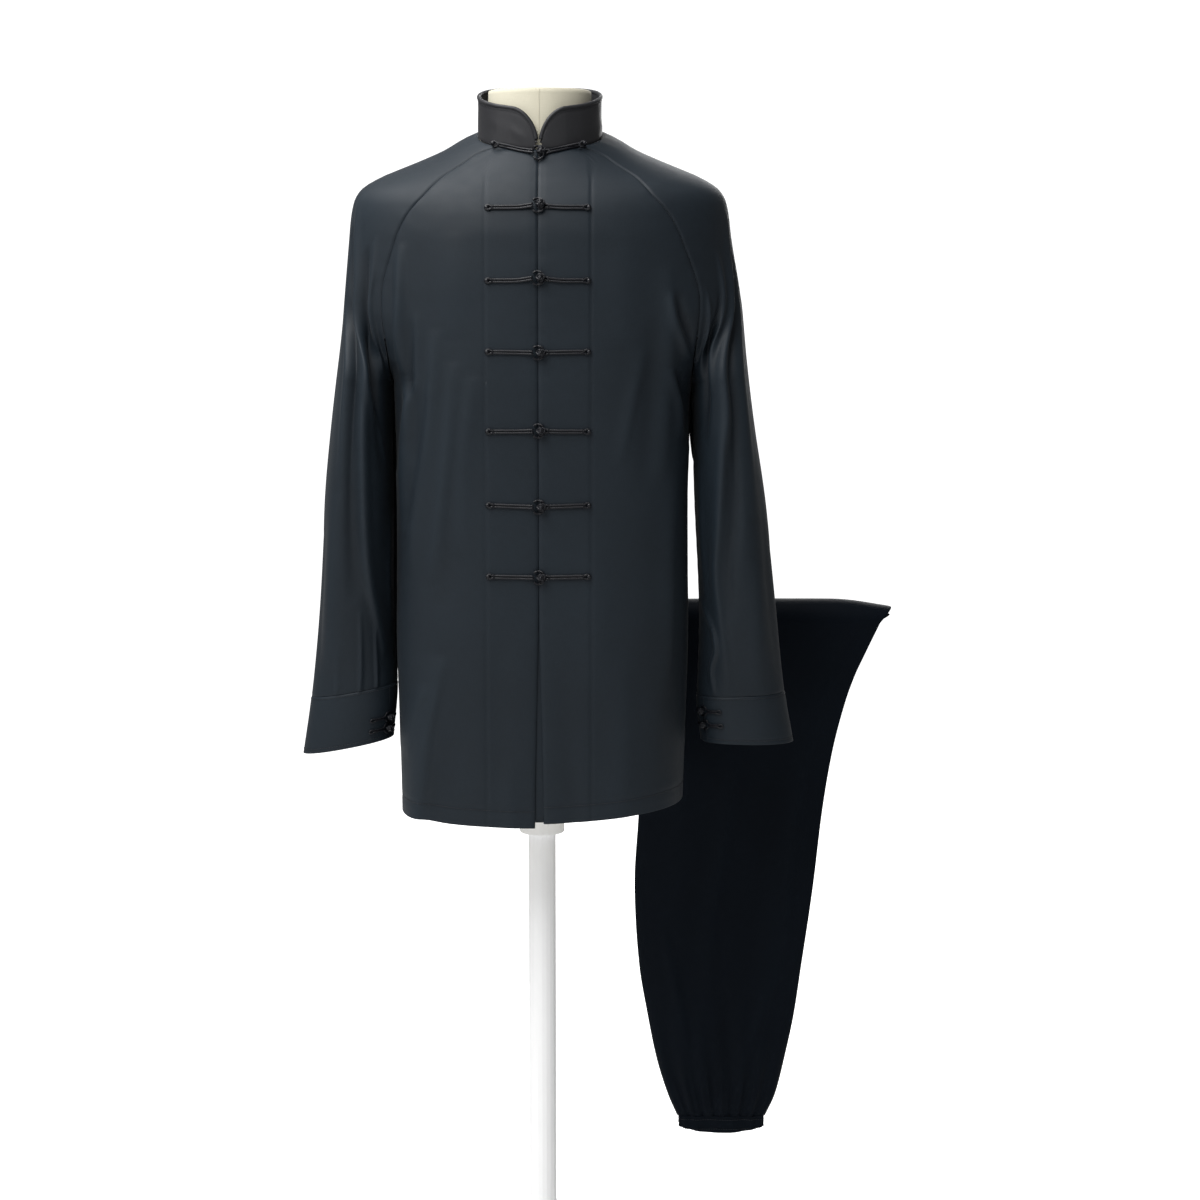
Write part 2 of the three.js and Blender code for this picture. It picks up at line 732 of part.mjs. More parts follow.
// An edge that runs inside the collar's outline at a distance from it: stations with their turn and
// their height over the neckline, from one end of the collar round to the other
function collarEdge(inset) {
  const corner = CORNER_DEGREES.map((degrees) => {
    const angle = THREE.MathUtils.degToRad(degrees);
    const x = inset + SEAM_GAP + (COLLAR_CORNER - inset) * (1 - Math.cos(angle));
    const rise = (COLLAR_HEIGHT - COLLAR_MEETING) * Math.sin(angle) ** CORNER_POWER;
    return { turn: Math.asin(x / shoulder.halfWidth(NECKLINE)), height: COLLAR_MEETING - inset + rise };
  });
  const round = ROUND_DEGREES.map((degrees) => ({
    turn: THREE.MathUtils.degToRad(degrees),
    height: mix(COLLAR_HEIGHT, COLLAR_BACK_HEIGHT, smooth((degrees - 90) / 90)) - inset,
  }));
  const half = [...corner, ...round];
  const other = half.slice(0, -1).map(({ turn, height }) => ({ turn: 2 * Math.PI - turn, height }));
  return [...half, ...other.reverse()];
}

function makeCollar() {
  const edge = collarEdge(BINDING_HEIGHT + SEAM_GAP);
  const turnAtEnd = 0.005;
  const height = edge[0].height;
  const stations = [{ turn: turnAtEnd, height }, ...edge, { turn: 2 * Math.PI - turnAtEnd, height }];
  const surface = (place, share) => {
    const i = THREE.MathUtils.clamp(Math.floor(place), 0, stations.length - 2);
    const [a, b] = [stations[i], stations[i + 1]];
    const point = neckPoint(mix(a.turn, b.turn, place - i));
    point.z += mix(SEAM_GAP, mix(a.height, b.height, place - i), share);
    return point;
  };
  return clothWall({
    surface,
    columns: stations.map((_, i) => i),
    rows: [0, 0.5, 1],
    outward: 1,
    wall: COLLAR_CLOTH,
    stepU: 0.3,
    stepV: 0.2,
    seams: [],
  });
}

function makeBinding() {
  const edge = collarEdge(BINDING_HEIGHT / 2);
  const middles = edge.map(({ turn, height }) => neckPoint(turn).add(new THREE.Vector3(0, 0, height)));
  const stations = middles.map((point, i) => {
    const { turn } = edge[i];
    const before = middles[Math.max(0, i - 1)];
    const after = middles[Math.min(middles.length - 1, i + 1)];
    const along = after.clone().sub(before).normalize();
    const round = neckPoint(turn + 0.01).sub(neckPoint(turn - 0.01));
    const out = round.cross(new THREE.Vector3(0, 0, 1)).normalize();
    const across = out.clone().cross(along).normalize();
    const middle = point.clone().addScaledVector(out, -COLLAR_CLOTH / 2);
    return { middle, out, across, width: BINDING_HEIGHT / 2, thickness: BINDING_THICKNESS / 2 };
  });
  return laidCord(stations, 6);
}

// Frogs

// The frame of a front at a point: where it is, which way is out, and the directions along it
function frontFrame(side, x, z) {
  const step = 0.5;
  const near = Math.max(x, 2 * step);
  const across = frontAt(side, near + step, z).sub(frontAt(side, near - step, z));
  const up = frontAt(side, near, z + step).sub(frontAt(side, near, z - step));
  const out = across.cross(up).multiplyScalar(side.sign).normalize();
  return { point: frontAt(side, x, z), out };
}

// A station of a cord that lies on a front, with the direction that it runs in
function frontStation(side, x, z, run, lift, width, thickness) {
  const { point, out } = frontFrame(side, Math.abs(x), z);
  const along = new THREE.Vector3(run[0] * side.sign, 0, run[1]);
  const across = out.clone().cross(along).normalize();
  return { middle: point.addScaledVector(out, lift), out, across, width, thickness };
}

function frogRow(frog, x) {
  const s = x / frog.reach;
  return frog.height - frog.knotLift + frog.rise * s + frog.knotLift * Math.exp(-((x / KNOT_SWELL) ** 2));
}

// The knot half: a flat bar of doubled cord on the right front that ends in the ball
function makeFrogKnot(frog) {
  const side = SIDES[0];
  const bar = [CORD_SPREAD + CORD / 2, CORD / 2];
  const eye = [EYE.width, EYE.thickness];
  const low = 1.5 * SEAM_GAP + CORD / 2;
  const high = SEAM_GAP + KNOT_RADIUS;
  const outline = [
    [frog.reach, low, 0.43 * EYE.width, 0.53 * EYE.thickness],
    [frog.reach - 1.5, low + EYE.lift, ...eye],
    [frog.reach - 5, low + EYE.lift, ...eye],
    [frog.reach - 8, low, ...bar],
    [frog.reach * 0.55, low, ...bar],
    [FROG_NECK, low, ...bar],
    [KNOT_RADIUS + 0.4, low + 1.2, CORD, EYE.thickness],
  ];
  const ball = [-0.72, -0.3, 0.3, 0.72, 0.97].map((s) => {
    const round = KNOT_RADIUS * Math.sqrt(1 - s * s);
    return [-KNOT_RADIUS * s, high, round, round];
  });
  const stations = [...outline, ...ball].map(([x, lift, width, thickness]) => {
    const owner = x < 0 ? SIDES[1] : side;
    const run = x < 0 ? [1, 0] : [-1, 0];
    return frontStation(owner, x, frogRow(frog, Math.abs(x)), run, lift, width, thickness);
  });
  return laidCord(stations, 6);
}

// The loop half: one cord from the open mouth of the loop round the ball, along the left front, back in
// a curl and along the other side of the loop
function makeFrogLoop(frog) {
  const side = SIDES[1];
  const half = CORD / 2;
  const lift = 1.5 * SEAM_GAP + half;
  const neckHalfAngle = 12;
  const upper = [];
  for (const degrees of [180 - LOOP_MOUTH, 105, 75, 45, neckHalfAngle + 8]) {
    const turn = THREE.MathUtils.degToRad(degrees);
    const run = [Math.sin(turn), -Math.cos(turn)];
    upper.push({ x: LOOP_RADIUS * Math.cos(turn), rise: LOOP_RADIUS * Math.sin(turn), run });
  }
  for (const x of [FROG_NECK, frog.reach * 0.5, frog.reach - 7]) {
    upper.push({ x, rise: CORD_SPREAD, run: [1, 0] });
  }
  upper.push({ x: frog.reach - 3.4, rise: EYE.width - half, run: [1, 0] });
  const curl = { x: frog.reach - half, rise: 0, run: [0, -1] };
  const lower = upper.map(({ x, rise, run }) => ({ x, rise: -rise, run: [-run[0], run[1]] })).reverse();
  const stations = [...upper, curl, ...lower].map(({ x, rise, run }) => {
    const owner = x < 0 ? SIDES[0] : side;
    const facing = x < 0 ? [-run[0], run[1]] : run;
    return frontStation(owner, x, frogRow(frog, Math.abs(x)) + rise, facing, lift, half, half);
  });
  return laidCord(stations, 5);
}

// The small frogs that close a cuff, laid across its opening
const CUFF_BAR = 25;
const CUFF_KNOT_BAR = 17.5;
const CUFF_KNOT_RADIUS = 4.2;
const CUFF_LOOP_RADIUS = 5.6;
const CUFF_CORD = { width: 2, thickness: 1.1 };          // half sizes of the doubled cord
const CUFF_SINGLE_CORD = 1;

// A station on a cuff, at a distance along the cloth from the opening, towards the front
function cuffStation(side, level, distance, lift, width, thickness) {
  const surface = plainSleeve(side);
  const step = 0.004;
  const perTurn = surface(CUFF_OPENING + step, level).distanceTo(surface(CUFF_OPENING - step, level)) / (2 * step);
  const turn = CUFF_OPENING + distance / perTurn;
  const out = normalAt(surface, turn, level, step, 0.5).multiplyScalar(side.sign);
  const along = surface(turn + step, level).sub(surface(turn - step, level)).normalize();
  const across = out.clone().cross(along).normalize();
  return { middle: surface(turn, level).addScaledVector(out, lift), out, across, width, thickness };
}

function makeCuffKnot(side, level) {
  const { width, thickness } = CUFF_CORD;
  const low = SEAM_GAP + thickness;
  const high = 2 * SEAM_GAP + CUFF_KNOT_RADIUS;
  const bar = [
    [-CUFF_KNOT_BAR, low, 0.6 * width, 0.7 * thickness],
    [-CUFF_KNOT_BAR + 1, low + 0.3, 1.2 * width, 1.2 * thickness],
    [-CUFF_KNOT_BAR + 3.7, low, width, thickness],
    [-CUFF_KNOT_RADIUS - 3.3, low, width, thickness],
    [-CUFF_KNOT_RADIUS + 0.3, low + 1, 0.9 * width, 1.2 * thickness],
  ];
  const ball = [-0.6, 0, 0.6, 0.96].map((s) => {
    const round = CUFF_KNOT_RADIUS * Math.sqrt(1 - s * s);
    return [CUFF_KNOT_RADIUS * s, high, round, round];
  });
  const stations = [...bar, ...ball].map((row) => cuffStation(side, level, ...row));
  const middle = stations[bar.length + 1];
  ball.forEach(([distance], i) => {
    const station = stations[bar.length + i];
    const along = middle.across.clone().cross(middle.out);
    station.middle = middle.middle.clone().addScaledVector(along, distance);
    station.out = middle.out;
    station.across = middle.across;
  });
  return laidCord(stations, 6);
}

function makeCuffLoop(side, level) {
  const half = CUFF_SINGLE_CORD;
  const lift = 1.5 * SEAM_GAP + half;
  const points = [];
  for (const degrees of [130, 90, 50, 22]) {
    const turn = THREE.MathUtils.degToRad(degrees);
    points.push([CUFF_LOOP_RADIUS * Math.cos(turn), CUFF_LOOP_RADIUS * Math.sin(turn)]);
  }
  points.push([CUFF_LOOP_RADIUS + 3.4, half + 0.15], [CUFF_BAR - 4, half + 0.3], [CUFF_BAR - half, 0]);
  const route = [...points, ...points.slice(0, -1).reverse().map(([s, rise]) => [s, -rise])];
  const middles = route.map(([s, rise]) => {
    const station = cuffStation(side, level, s, lift, half, half);
    return { point: station.middle.addScaledVector(station.across, rise), out: station.out };
  });
  const stations = middles.map(({ point, out }, i) => {
    const before = middles[Math.max(0, i - 1)].point;
    const after = middles[Math.min(middles.length - 1, i + 1)].point;
    const across = out.clone().cross(after.clone().sub(before)).normalize();
    return { middle: point, out, across, width: half, thickness: half };
  });
  return laidCord(stations, 5);
}

// Dress form and stand

function ovalRing(count, halfWidth, front, back, power, heightAt) {
  return Array.from({ length: count }, (_, i) => {
    const turn = (i / count) * 2 * Math.PI;
    const [across, along] = [Math.sin(turn), Math.cos(turn)];
    const depth = along > 0 ? front : back;
    const radius = (Math.abs(across / halfWidth) ** power + Math.abs(along / depth) ** power) ** (-1 / power);
    const y = -radius * along;
    return new THREE.Vector3(radius * across, y, heightAt(y));
  });
}

// The form follows the shoulders of the jacket just under the cloth, narrows below them like a torso,
// and ends flat above the hem
function makeForm() {
  const count = 26;
  const depthUnderCloth = CLOTH + FORM_CLEARANCE;
  const neck = FORM_NECK.map(({ level, halfWidth, front, back, tilt }) =>
    ovalRing(count, halfWidth, front, back, 2, (y) => level + tilt * y),
  );
  const shoulders = FORM_SHOULDER_LEVELS.map((level) => {
    const outward = new THREE.Vector2(2, shoulder.halfWidth(level - 1) - shoulder.halfWidth(level + 1)).normalize();
    const halfWidth = shoulder.halfWidth(level) - outward.x * depthUnderCloth;
    const height = level - outward.y * depthUnderCloth;
    const [front, back] = [shoulder.front(level) - FORM_CHEST_EASE, shoulder.back(level) - FORM_CHEST_EASE];
    return ovalRing(count, halfWidth, front, back, SHOULDER_ROUNDNESS, (y) => height + shoulder.tilt(level) * y);
  });
  const torso = FORM_BODY.map(({ level, halfWidth, front, back, roundness }) =>
    ovalRing(count, halfWidth, front, back, roundness, () => level),
  );
  return ringStack([...neck, ...shoulders, ...torso]);
}

function lathe(profile, segments) {
  const geometry = new THREE.LatheGeometry(profile.map(([r, z]) => new THREE.Vector2(r, z)), segments);
  return geometry.rotateX(Math.PI / 2);
}

function makePole() {
  const foot = BASE_THICKNESS + 2 * SEAM_GAP;
  const head = FORM_BOTTOM - SEAM_GAP;
  return lathe([[0, foot], [POLE_RADIUS, foot], [POLE_RADIUS, head], [0, head]], 20);
}

function makeBase() {
  const socket = POLE_RADIUS + SEAM_GAP;
  const bossTop = 42;
  const bossRadius = 30;
  const profile = [
    [0, 0], [BASE_RADIUS, 0], [BASE_RADIUS, 5], [BASE_RADIUS - 6, 10], [bossRadius + 12, BASE_THICKNESS],
    [bossRadius, BASE_THICKNESS + 8], [bossRadius - 4, bossTop], [socket, bossTop],
    [socket, BASE_THICKNESS], [0, BASE_THICKNESS],
  ];
  return lathe(profile, 36);
}

function makeClamp() {
  const [inner, outer] = [POLE_RADIUS + SEAM_GAP, POLE_RADIUS + 10];
  const [low, high] = [CLAMP_MIDDLE - CLAMP_HEIGHT / 2, CLAMP_MIDDLE + CLAMP_HEIGHT / 2];
  return lathe([[inner, low], [outer, low], [outer, high], [inner, high], [inner, low]], 20);
}

// The rod leaves the clamp backwards, turns up behind the jacket and then runs out to the left
function makeRod() {
  const reach = POLE_RADIUS + 10 + SEAM_GAP;
  const bend = 30;
  const bendSteps = 4;
  const away = new THREE.Vector2(ROD_UPRIGHT_X, ROD_Y).setLength(reach);
  const corners = [
    new THREE.Vector3(away.x, away.y, CLAMP_MIDDLE),
    new THREE.Vector3(ROD_UPRIGHT_X, ROD_Y, CLAMP_MIDDLE),
    new THREE.Vector3(ROD_UPRIGHT_X, ROD_Y, ROD_Z),
    new THREE.Vector3(ROD_END, ROD_Y, ROD_Z),
  ];
  const points = [corners[0]];
  for (const i of [1, 2]) {
    const before = corners[i].clone().addScaledVector(corners[i - 1].clone().sub(corners[i]).normalize(), bend);
    const after = corners[i].clone().addScaledVector(corners[i + 1].clone().sub(corners[i]).normalize(), bend);
    const curve = new THREE.QuadraticBezierCurve3(before, corners[i], after);
    points.push(...curve.getPoints(bendSteps));
  }
  points.push(corners[3]);
  const stations = points.map((point, i) => {
    const before = points[Math.max(0, i - 1)];
    const after = points[Math.min(points.length - 1, i + 1)];
    const along = after.clone().sub(before).normalize();
    const out = new THREE.Vector3(-1, 1, -0.4).cross(along).normalize();
    const across = out.clone().cross(along).normalize();
    return { middle: point, out, across, width: ROD_RADIUS, thickness: ROD_RADIUS };
  });
  return laidCord(stations, 12);
}

// Trousers

const legFront = tracks(LEG_FRONT);
const seatBack = tracks(SEAT_BACK);

// The way a leg hangs: stations up the front, over the rod and down the back
function hangStations() {
  const front = [126, 140, 160, 190, 230, 280, 340, 410, 480, 560, 630, 690, 730].map((level) => ({
    bend: -90,
    level,
    ...readAll(legFront, level),
  }));
  const bends = [-90, -60, -30, 0, 30, 60, 90].map((bend) => {
    const edge = bend < 0 ? legFront : seatBack;
    const right = mix(edge.right(ROD_Z), CREST_RIGHT, Math.cos(THREE.MathUtils.degToRad(bend)));
    return { bend, level: ROD_Z, left: CREST_LEFT, right, fullness: 1 };
  });
  const back = [725, 690, 640, 590, 550, WAIST_BAND_TOP + SEAM_GAP].map((level) => ({
    bend: 90,
    level,
    ...readAll(seatBack, level),
  }));
  return [...front, ...bends, ...back];
}

const readAll = (curves, level) =>
  Object.fromEntries(Object.entries(curves).map(([name, read]) => [name, read(level)]));

// A point over a station, at a distance from the middle of the rod
function hangPoint(station, x, distance) {
  const turn = THREE.MathUtils.degToRad(station.bend);
  const pastRod = smooth((x - DROOP_START) / (CREST_RIGHT - DROOP_START));
  const droop = Math.abs(station.bend) < 90 ? CREST_DROOP * pastRod ** 1.5 : 0;
  const y = ROD_Y + distance * Math.sin(turn);
  return new THREE.Vector3(x, y, station.level + distance * Math.cos(turn) - droop * Math.cos(turn));
}

function gather(share, level) {
  const fade = smooth((GATHER_TOP - level) / GATHER_RUN);
  return 1 + GATHER_RISE * fade * Math.cos(LEG_GATHERS * Math.PI * share);
}

// One folded leg with its half of the seat: a flat rounded solid whose one face stays at a fixed
// distance from the rod, while the other stands out where the leg is full
function makeLeg({ face, direction, inset }) {
  const rings = hangStations().map((station) => {
    const isLegPart = station.bend === -90;
    const thickness = LEG_THICKNESS * (isLegPart ? station.fullness : 1);
    const ring = [];
    const place = (share, layer) => {
      const round = Math.sqrt(Math.max(0, 1 - Math.abs(share) ** 4));
      const waved = isLegPart && layer > 0 ? gather(share, station.level) : 1;
      const depth = thickness * (layer > 0 ? 0.5 + 0.5 * round * waved : 0.5 - 0.5 * round);
      const x = mix(station.left + inset, station.right - inset, (share + 1) / 2);
      ring.push(hangPoint(station, x, face + direction * depth));
    };
    for (let j = 0; j < LEG_COLUMNS; j += 1) place(-1 + (2 * j) / (LEG_COLUMNS - 1), 1);
    for (let j = 1; j < LEG_BACK_COLUMNS; j += 1) place(1 - (2 * j) / LEG_BACK_COLUMNS, -1);
    return ring;
  });
  return ringStack(rings);
}

// A gathered elastic casing: a flat open ring with waves on its outside
function makeBand({ left, right, nearY, farY, bottom, top, waves, waveHeight, sag, count }) {
  const middle = new THREE.Vector2((left + right) / 2, (nearY + farY) / 2);
  const half = new THREE.Vector2((right - left) / 2, Math.abs(farY - nearY) / 2);
  const loop = (wall, level, sagging) =>
    Array.from({ length: count }, (_, i) => {
      const turn = (i / count) * 2 * Math.PI;
      const wave = wall === 0 ? waveHeight * (Math.cos(waves * turn) - 1) * 0.5 : 0;
      const x = (half.x - wall) * signedPower(Math.cos(turn), BAND_ROUNDING);
      const y = (half.y - wall + wave) * signedPower(Math.sin(turn), BAND_ROUNDING);
      const drop = sagging * (x / half.x) ** 2;
      return new THREE.Vector3(middle.x + x, middle.y + y, level + drop);
    });
  return openBand(loop(0, bottom, sag), loop(0, top, 0), loop(BAND_WALL, bottom, sag), loop(BAND_WALL, top, 0));
}

// Assembly

const uniform = new THREE.Group();

function add(name, geometry, finish) {
  const mesh = new THREE.Mesh(geometry, new THREE.MeshStandardMaterial(finish));
  mesh.name = name;
  uniform.add(mesh);
}

for (const side of SIDES) {
  add(`front_${side.name}`, makeFront(side), DARK_CLOTH);
  add(`sleeve_${side.name}`, makeSleeve(side), DARK_CLOTH);
  add(`cuff_${side.name}`, makeCuff(side), DARK_CLOTH);
  side.frogLevels.forEach((level, i) => {
    add(`cuff_knot_${side.name}_${i + 1}`, makeCuffKnot(side, level), CORD_FINISH);
    add(`cuff_loop_${side.name}_${i + 1}`, makeCuffLoop(side, level), CORD_FINISH);
  });
}
add('back', makeBack(), DARK_CLOTH);
add('underlap', makeUnderlap(), DARK_CLOTH);
add('collar', makeCollar(), DARK_CLOTH);
add('collar_binding', makeBinding(), CORD_FINISH);
FROGS.forEach((frog, i) => {
  add(`frog_knot_${i + 1}`, makeFrogKnot(frog), CORD_FINISH);
  add(`frog_loop_${i + 1}`, makeFrogLoop(frog), CORD_FINISH);
});

const farInner = ROD_RADIUS + 2 * SEAM_GAP;
const farOuter = farInner + LEG_THICKNESS;
const nearInner = farOuter + SEAM_GAP;
add('trouser_leg_near', makeLeg({ face: nearInner, direction: 1, inset: 0 }), DARK_CLOTH);
add('trouser_leg_far', makeLeg({ face: farOuter, direction: -1, inset: 1.5 }), DARK_CLOTH);
const ankle = { left: 167, right: 275, bottom: ANKLE_BAND_BOTTOM, top: ANKLE_BAND_TOP - SEAM_GAP };
const ankleGathers = { waves: 12, waveHeight: 2.4, sag: 8, count: 36 };
const ankleDepth = LEG_THICKNESS * 1.75;
add(
  'ankle_band_near',
  makeBand({ ...ankle, ...ankleGathers, nearY: ROD_Y - nearInner, farY: ROD_Y - nearInner - ankleDepth }),
  DARK_CLOTH,
);
add(
  'ankle_band_far',
  makeBand({ ...ankle, ...ankleGathers, nearY: ROD_Y - farOuter, farY: ROD_Y - farOuter + ankleDepth }),
  DARK_CLOTH,
);
add(
  'waistband',
  makeBand({
    left: 131, right: 326, nearY: ROD_Y + farInner, farY: ROD_Y + nearInner + LEG_THICKNESS,
    bottom: WAIST_BAND_BOTTOM, top: WAIST_BAND_TOP, waves: 16, waveHeight: 2, sag: 0, count: 48,
  }),
  DARK_CLOTH,
);

add('form_torso', makeForm(), LINEN);
add('form_pole', makePole(), WHITE_PAINT);
add('form_base', makeBase(), WHITE_PAINT);
add('rod_clamp', makeClamp(), WHITE_PAINT);
add('trouser_rod', makeRod(), WHITE_PAINT);

export default uniform;
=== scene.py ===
"""The looks of a tai chi uniform: a raglan jacket with frogs on a dress form, and its folded trousers.

The script runs in Blender. It builds the cloth, cords, sewing, form and stand finishes around the
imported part. Lengths are in millimetres in the part's own frame and become metres in the meshes: the
front faces -Y, the wearer's left is +X and the floor is at zero.
"""

import logging
import math
from collections.abc import Iterable, Sequence
from dataclasses import dataclass, field
from enum import Enum

import bpy
import numpy as np
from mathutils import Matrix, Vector
from mathutils.bvhtree import BVHTree


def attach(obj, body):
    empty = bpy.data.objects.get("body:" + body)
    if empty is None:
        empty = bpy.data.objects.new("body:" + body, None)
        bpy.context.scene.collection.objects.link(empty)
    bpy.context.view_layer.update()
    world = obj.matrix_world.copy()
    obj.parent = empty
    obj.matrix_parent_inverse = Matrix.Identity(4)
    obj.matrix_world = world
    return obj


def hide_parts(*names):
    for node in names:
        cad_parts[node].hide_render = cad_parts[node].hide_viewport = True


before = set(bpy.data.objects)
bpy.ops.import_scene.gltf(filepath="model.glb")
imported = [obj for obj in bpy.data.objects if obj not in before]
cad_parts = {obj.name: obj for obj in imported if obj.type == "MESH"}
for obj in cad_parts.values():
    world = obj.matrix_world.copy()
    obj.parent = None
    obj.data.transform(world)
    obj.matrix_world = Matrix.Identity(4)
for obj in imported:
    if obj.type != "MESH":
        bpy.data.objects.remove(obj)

log = logging.getLogger("uniform")

Material = bpy.types.Material
Node = bpy.types.Node
Socket = bpy.types.NodeSocket
Tree = bpy.types.NodeTree
Object = bpy.types.Object
Array = np.ndarray

MM = 0.001
ROOT = "root"

# Heights of the jacket, measured at its sides
NECKLINE = 1329.0
ARMHOLE_TOP = 1140.0
ARMPIT = 1053.0
CUFF_SEAM = 690.0
CUFF_END = 626.0
HEM = 556.0

# Roundness of the horizontal sections: 2 is an ellipse, more is squarer
SHOULDER_ROUNDNESS = 2.15
BODY_ROUNDNESS = 3.0
SLEEVE_ROUNDNESS = 2.3

# The cloth's wall, its seams and openings, and where the left side starts to widen and the sleeves to swing
CLOTH = 1.3
SEAM_GAP = 0.3
LAST_FROG = 838.0
HEM_OPENING = 9.0
WIDENING_TOP = 1230.0
WIDENING_RUN = 90.0
SWING_RUN = 300.0
SEAM_REACH = 0.16
SLEEVE_ROUND = 420.0
HEM_DEPTH = 19.0
FACING = 58.0

# The rod, and the trousers where they bend over it
ROD_Y = 195.0
ROD_Z = 752.0
ROD_RADIUS = 9.0
LEG_THICKNESS = 9.0
CREST_DROOP = 6.0
CREST_LEFT = 124.0
CREST_RIGHT = 430.0
DROOP_START = 345.0
DROOP_RUN = 85.0

# Steps of the fine rows, and places of the stitches: on a casing as shares of its height
ROW_STEP = 4.5
THREAD_LIFT = 0.2
CASING_STITCHES = (0.22, 0.78)
CUFF_STITCHES = (("top", 2.6), ("bottom", 5.0))


class Curve:
    """A smooth curve through points that never swings past their values."""

    def __init__(self, places: Sequence[float], values: Sequence[float]) -> None:
        """Sets the slopes at the points.

        Args:
            places: Where the points are, in any order.
            values: The values there.
        """
        order = np.argsort(places)
        self.x = np.asarray(places, float)[order]
        self.y = np.asarray(values, float)[order]
        rates = np.diff(self.y) / np.diff(self.x)
        before, after = rates[:-1], rates[1:]
        total = np.where(before + after == 0, 1.0, before + after)
        inner = np.where(before * after <= 0, 0.0, 2 * before * after / total)
        self.slopes = np.concatenate([rates[:1], inner, rates[-1:]])

    def __call__(self, place: Array | float) -> Array:
        """Reads the curve.

        Args:
            place: One or more places.

        Returns:
            The values there.
        """
        at = np.clip(place, self.x[0], self.x[-1])
        i = np.clip(np.searchsorted(self.x, at, side="right") - 1, 0, len(self.x) - 2)
        span = self.x[i + 1] - self.x[i]
        s = (at - self.x[i]) / span
        rest = 1 - s
        return (
            self.y[i] * (1 + 2 * s) * rest**2
            + self.y[i + 1] * s**2 * (3 - 2 * s)
            + span * (self.slopes[i] * s * rest**2 - self.slopes[i + 1] * s**2 * rest)
        )


class Table:
    """Rows of sizes by level, read along smooth curves."""

    def __init__(self, names: str, rows: Sequence[Sequence[float]]) -> None:
        """Makes a curve for each column.

        Args:
            names: The columns after the level, with spaces between them.
            rows: The level and the sizes there.
        """
        columns = list(zip(*rows))
        for name, values in zip(names.split(), columns[1:]):
            setattr(self, name, Curve(columns[0], values))


SHOULDER = Table(
    "half_width front back tilt raglan_front raglan_back",
    [
        (1329, 70, 62, 66, 0.32, 44, 38),
        (1320, 90, 72, 80, 0.32, 70, 60),
        (1307, 114, 82, 92, 0.28, 88, 82),
        (1298, 136, 87.3, 100, 0.25, 102, 97),
        (1290, 158, 91.3, 106, 0.2175, 111, 107),
        (1281, 182, 95, 111, 0.18, 118, 115),
        (1270, 201, 99.4, 116, 0.1365, 125, 122),
        (1262, 207.5, 102.3, 118, 0.108, 130.5, 127.5),
        (1254, 211, 105, 120, 0.083, 136, 133),
        (1236, 214.5, 109.6, 122.5, 0.04, 147, 143.5),
        (1210, 217, 113.8, 125, 0.004, 158, 154),
        (1140, 223.5, 117, 126, 0, 175, 172),
        (1053, 231, 117, 122, 0, 175, 172),
    ],
)
BODY = Table(
    "half_width front back",
    [
        (1053, 168, 117, 122),
        (1000, 167, 116, 118),
        (916, 164.5, 114, 114),
        (826, 165, 114, 115),
        (760, 166, 115, 118),
        (679, 164, 116, 121),
        (600, 161.5, 117, 122),
        (556, 160, 117, 121),
    ],
)
SLEEVE = Table(
    "inner outer half_depth middle",
    [
        (1140, 168, 221, 76, 0),
        (1053, 168, 231, 76, 0),
        (1000, 169.5, 237, 76, -1),
        (916, 168.5, 246.5, 71, -2),
        (800, 169.5, 255, 61, -4),
        (753, 169, 259, 55, -5),
        (690, 167, 266, 44, -7),
        (626, 172, 276, 40, -8),
    ],
)
LEG_FRONT = Table(
    "left right fullness",
    [
        (752, 124, 414, 1),
        (716, 122, 397, 1),
        (685, 121, 383, 1),
        (653, 120, 372, 1.05),
        (590, 118, 356.5, 1.15),
        (517, 116, 345, 1.3),
        (426, 111, 335, 1.5),
        (387, 112, 330, 1.65),
        (320, 117, 320.5, 1.95),
        (260, 127, 312, 2.3),
        (201, 139, 300, 2.6),
        (155, 153, 289, 2.4),
        (126, 165, 277, 1.75),
    ],
)
SEAT_BACK = Table(
    "left right fullness",
    [
        (752, 124, 404, 1),
        (700, 123, 372, 1),
        (640, 124, 349, 1),
        (590, 126, 338, 1),
        (550, 128, 331, 1),
        (528, 130, 327, 1),
    ],
)


def smooth(s: Array | float) -> Array:
    """Eases from 0 to 1 as s goes from 0 to 1."""
    t = np.clip(s, 0.0, 1.0)
    return t * t * (3 - 2 * t)


def mix(a: Array | float, b: Array | float, share: Array | float) -> Array:
    """The value that lies at a share of the way from a to b."""
    return a + (b - a) * share


def power_of(value: Array, power: float) -> Array:
    """Raises a size to a power and keeps its sign."""
    return np.sign(value) * np.abs(value) ** power


def bell(distance: Array, width: Array | float) -> Array:
    """Falls from 1 where the distance is zero to nothing on both sides."""
    return np.exp(-((distance / width) ** 2))


def unit(vectors: Array) -> Array:
    """The vectors with a length of one."""
    return vectors / np.maximum(np.linalg.norm(vectors, axis=-1, keepdims=True), 1e-9)


def squared_ellipse(
    angle: Array, reach: Array, depth: Array, power: Array | float
) -> tuple[Array, Array]:
    """Points of a squared ellipse.

    Args:
        angle: Angles from the middle of its face.
        reach: Its half width.
        depth: Its half depth.
        power: Its roundness.

    Returns:
        Their distances sideways and forward.
    """
    across, along = np.sin(angle), np.cos(angle)
    radius = (np.abs(across / reach) ** power + np.abs(along / depth) ** power) ** (-1 / power)
    return radius * across, radius * along


def fill_in(places: Sequence[float], step: float) -> Array:
    """Adds places between the given ones.

    Args:
        places: Places in order, all of which are kept.
        step: The longest step that is left.

    Returns:
        The places with the added ones.
    """
    filled: list[float] = []
    for a, b in zip(places, places[1:]):
        filled.extend(np.linspace(a, b, max(1, math.ceil(abs(b - a) / step)), endpoint=False))
    return np.array([*filled, places[-1]])


